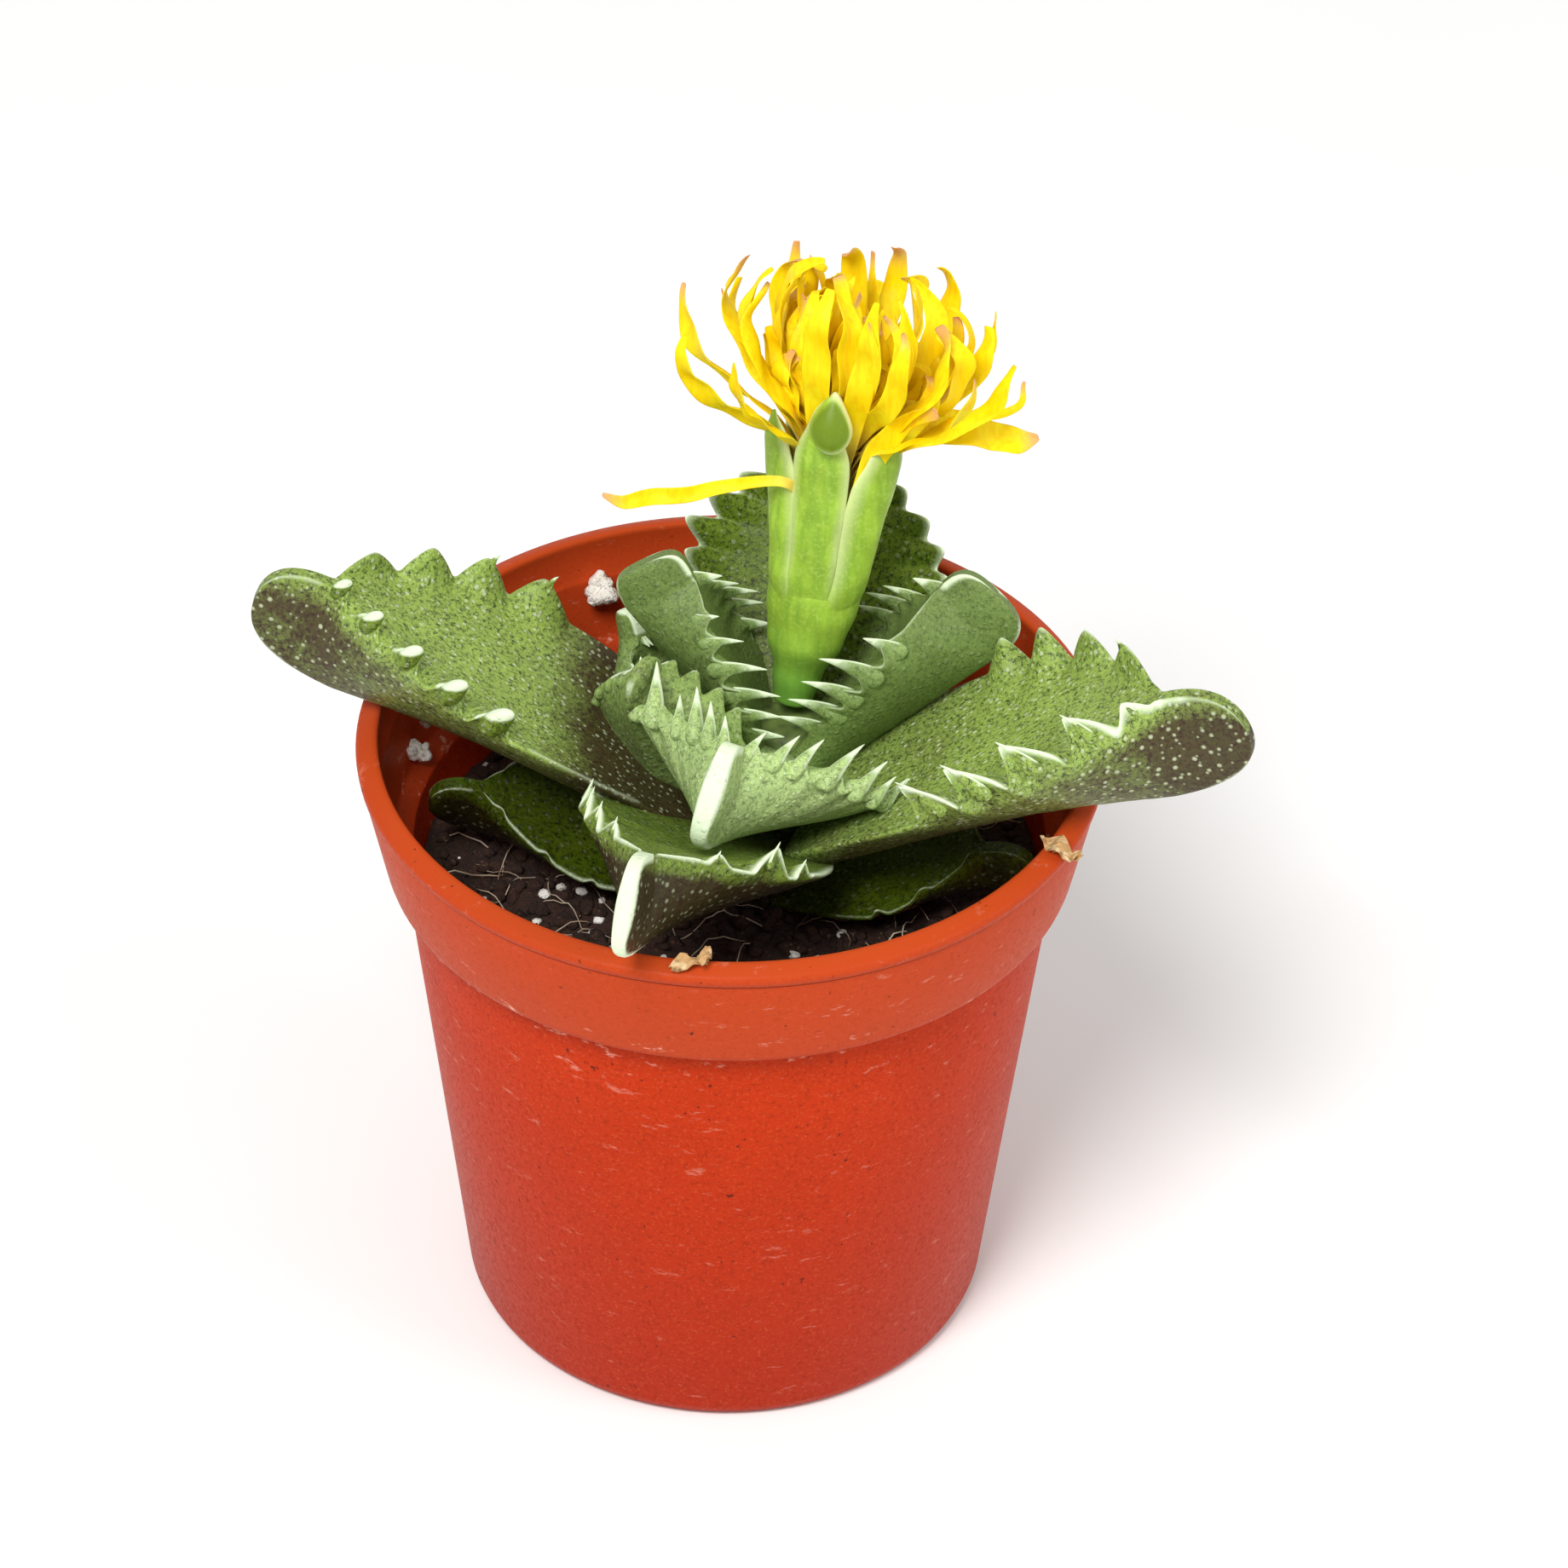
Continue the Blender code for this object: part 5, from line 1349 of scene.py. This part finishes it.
class TIGERJAWS_OT_petals(bpy.types.Operator):
    """Draws the strap petals in three layers, with the single ones that stand out"""

    bl_idname = "tigerjaws.petals"
    bl_label = "Petals"

    def execute(self, context):
        settings = context.scene.tiger_jaws_flower
        draw = random.Random(SEED)
        loose = random.Random(SEED + 60)
        # The noise that crimps the petals is the same in every run.
        noise.seed_set(SEED)
        work, layers = new_mesh("root", "dry")
        base = (TUBE_TOP + 0.3) * MM

        def add_petal(angle, root, leans, length, width, turn):
            if math.cos(angle - math.radians(SEPAL_FIRST)) > math.cos(math.radians(HOOD_ARC)):
                leans = (leans[0], min(leans[1], HOOD_LEAN), leans[2])
            path, facing = petal_path(angle, root, leans, length, turn)
            rows = len(path) - 1
            pointed = loose.uniform(0.3, 0.85)
            shares = [k / rows for k in range(rows + 1)]
            widths = [1.1 * width * settings.petal_width
                      * (0.42 + 0.58 * math.sin(math.pi * min(1.0, 0.04 + 0.86 * share) ** 1.25))
                      * (1 - pointed * smooth(share, 0.8, 1.0)) for share in shares]
            dry_from = loose.choice((0.84, 0.9, 0.94, 1.0, 1.0, 1.0))
            petal_blade(work, layers, path, widths, facing, loose, dry_from,
                        loose.uniform(-1.3, 1.3))

        for row, layer in enumerate(PETAL_LAYERS):
            count, radius, height, first, widest, more, last, length, width = layer
            for k in range(count):
                angle = math.tau * (k + 0.4 * row) / count + draw.uniform(-0.08, 0.08)
                aside = math.cos(angle)
                spread = widest + (more if aside > 0 else -LEFT_LEAN) * aside + draw.uniform(-7, 7)
                add_petal(angle, (radius * MM, base + height * MM),
                          (first, spread, last + draw.uniform(-16, 16)),
                          length * MM * draw.uniform(0.9, 1.05),
                          width * MM * draw.uniform(0.85, 1.1),
                          draw.uniform(-PETAL_TURN, PETAL_TURN))
        for _ in range(EXTRA_PETALS):
            add_petal(loose.uniform(0, math.tau), (1.0 * MM, base + 6.0 * MM),
                      (8, loose.uniform(12, 56), loose.uniform(-100, 10)),
                      loose.uniform(14, 22) * MM, loose.uniform(0.9, 2.2) * MM,
                      loose.uniform(-0.6, 0.6))
        for facing, widths, points in SINGLE_PETALS:
            path = spline([flower_point(radius * MM, math.radians(angle), height * MM)
                           for angle, radius, height in points])
            wide = spline([Vector((width * MM, 0, 0)) for width in widths])
            petal_blade(work, layers, path, [max(0.3 * MM, value.x) for value in wide],
                        Vector(facing), loose, 0.86)

        columns, rows = CUP_STEPS

        def cup(column, row):
            # The petal bases that fill the ring of sepals, in place of the imported ones.
            share = min(1.0, row / rows)
            angle = math.tau * column / columns
            radius = (3.3 + 1.0 * share + 0.2 * math.cos(11 * angle)) * MM
            radius *= 0.0 if row > rows else 1.0 - 0.6 * smooth(share, 0.75, 1.0)
            point = flower_point(radius, angle, (11.0 + 11.0 * share) * MM)
            return point, (1.0 - 0.6 * share, 0.0)

        shaped_grid(work, columns, rows + 1, cup, layers)
        bmesh.ops.recalc_face_normals(work, faces=work.faces)
        petals = add_piece(work, "strap_petals", petal_material(settings))
        wall = petals.modifiers.new("Petal thickness", "SOLIDIFY")
        wall.thickness = 0.12 * MM
        wall.offset = 0.0
        subdivision = petals.modifiers.new("Smooth", "SUBSURF")
        subdivision.levels = 1
        subdivision.render_levels = 1
        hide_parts("flower_petals")
        return {"FINISHED"}


# Stage.

# The lights: name, place, size, and share of the key light's power.
LIGHTS = [("key_softbox", (-0.24, -0.55, 0.9), 0.4, 1.0),
          ("side_softbox", (0.75, -0.3, 0.55), 0.5, 0.25)]
LIT_POINT = Vector((0.0, 0.0, 0.05))
SKY_STRENGTH = 0.55
CAMERA_PLACE = Vector((0.0, -431.8, 400.04)) * MM
CAMERA_TARGET = Vector((4.635, 0.0, 54.05)) * MM
# In degrees.
CAMERA_ROLL = 1.136
# Lens and sensor width in mm.
CAMERA_LENS = 145.88
CAMERA_SENSOR = 36.0


class TIGERJAWS_OT_stage(bpy.types.Operator):
    """Lays the pale floor, hangs the soft lights and sets the camera"""

    bl_idname = "tigerjaws.stage"
    bl_label = "Stage"

    def execute(self, context):
        settings = context.scene.tiger_jaws_stage
        # Matt seamless paper: even, no gloss.
        material = dull_material("matt_seamless_paper", settings.floor, [
            ((60 * MM, 0.3, 0.7, 1.0, 2), [value * 0.985 for value in settings.floor])], 0.9)
        work = bmesh.new()
        bmesh.ops.create_circle(work, cap_ends=True, segments=64, radius=3.0)
        mesh = bpy.data.meshes.new("floor")
        work.to_mesh(mesh)
        work.free()
        floor = bpy.data.objects.new("floor", mesh)
        mesh.materials.append(material)
        context.scene.collection.objects.link(floor)

        context.scene.view_settings.view_transform = "Standard"
        world = bpy.data.worlds.new("studio")
        world.use_nodes = True
        set_sockets(world.node_tree, world.node_tree.nodes["Background"],
                    {"Color": (1.0, 1.0, 1.0), "Strength": SKY_STRENGTH})
        context.scene.world = world
        for name, place, size, share in LIGHTS:
            light = bpy.data.lights.new(name, "AREA")
            light.shape = "DISK"
            light.size = size
            light.energy = settings.key_power * share
            lamp = bpy.data.objects.new(name, light)
            lamp.location = place
            aim = LIT_POINT - Vector(place)
            lamp.rotation_euler = aim.to_track_quat("-Z", "Y").to_euler()
            context.scene.collection.objects.link(lamp)

        camera = bpy.data.cameras.new("camera")
        camera.sensor_width = CAMERA_SENSOR
        camera.lens = CAMERA_LENS
        camera.clip_start = 0.01
        back = (CAMERA_PLACE - CAMERA_TARGET).normalized()
        right = Vector((0, 0, 1)).cross(back).normalized()
        up = back.cross(right)
        roll = math.radians(CAMERA_ROLL)
        rolled = right * math.cos(roll) + up * math.sin(roll)
        upright = up * math.cos(roll) - right * math.sin(roll)
        eye = bpy.data.objects.new("camera", camera)
        eye.matrix_world = (Matrix.Translation(CAMERA_PLACE)
                            @ Matrix((rolled, upright, back)).transposed().to_4x4())
        context.scene.collection.objects.link(eye)
        context.scene.camera = eye
        return {"FINISHED"}


# Panel and registration.

SETTINGS = {
    "tiger_jaws_pot": PotSettings,
    "tiger_jaws_soil": SoilSettings,
    "tiger_jaws_leaves": LeafSettings,
    "tiger_jaws_flower": FlowerSettings,
    "tiger_jaws_stage": StageSettings,
}
OPERATORS = (TIGERJAWS_OT_pot, TIGERJAWS_OT_compost, TIGERJAWS_OT_litter, TIGERJAWS_OT_stem,
             TIGERJAWS_OT_leaves, TIGERJAWS_OT_calyx, TIGERJAWS_OT_petals, TIGERJAWS_OT_stage)


class TIGERJAWS_PT_panel(bpy.types.Panel):
    """Lists the pieces of the plant with their settings"""

    bl_label = "Tiger Jaws"
    bl_idname = "TIGERJAWS_PT_panel"
    bl_space_type = "VIEW_3D"
    bl_region_type = "UI"
    bl_category = "Tiger Jaws"

    def draw(self, context):
        for name, group in SETTINGS.items():
            box = self.layout.box()
            for setting in group.__annotations__:
                box.prop(getattr(context.scene, name), setting)
        for operator in OPERATORS:
            self.layout.operator(operator.bl_idname)


def register():
    for name, group in SETTINGS.items():
        bpy.utils.register_class(group)
        setattr(bpy.types.Scene, name, PointerProperty(type=group))
    for item in OPERATORS + (TIGERJAWS_PT_panel,):
        bpy.utils.register_class(item)


def unregister():
    for item in (TIGERJAWS_PT_panel,) + OPERATORS[::-1]:
        bpy.utils.unregister_class(item)
    for name, group in SETTINGS.items():
        delattr(bpy.types.Scene, name)
        bpy.utils.unregister_class(group)


def main():
    register()
    bpy.ops.tigerjaws.pot()
    bpy.ops.tigerjaws.compost()
    bpy.ops.tigerjaws.litter()
    bpy.ops.tigerjaws.stem()
    bpy.ops.tigerjaws.leaves()
    bpy.ops.tigerjaws.calyx()
    bpy.ops.tigerjaws.petals()
    bpy.ops.tigerjaws.stage()


if __name__ == "__main__":
    main()
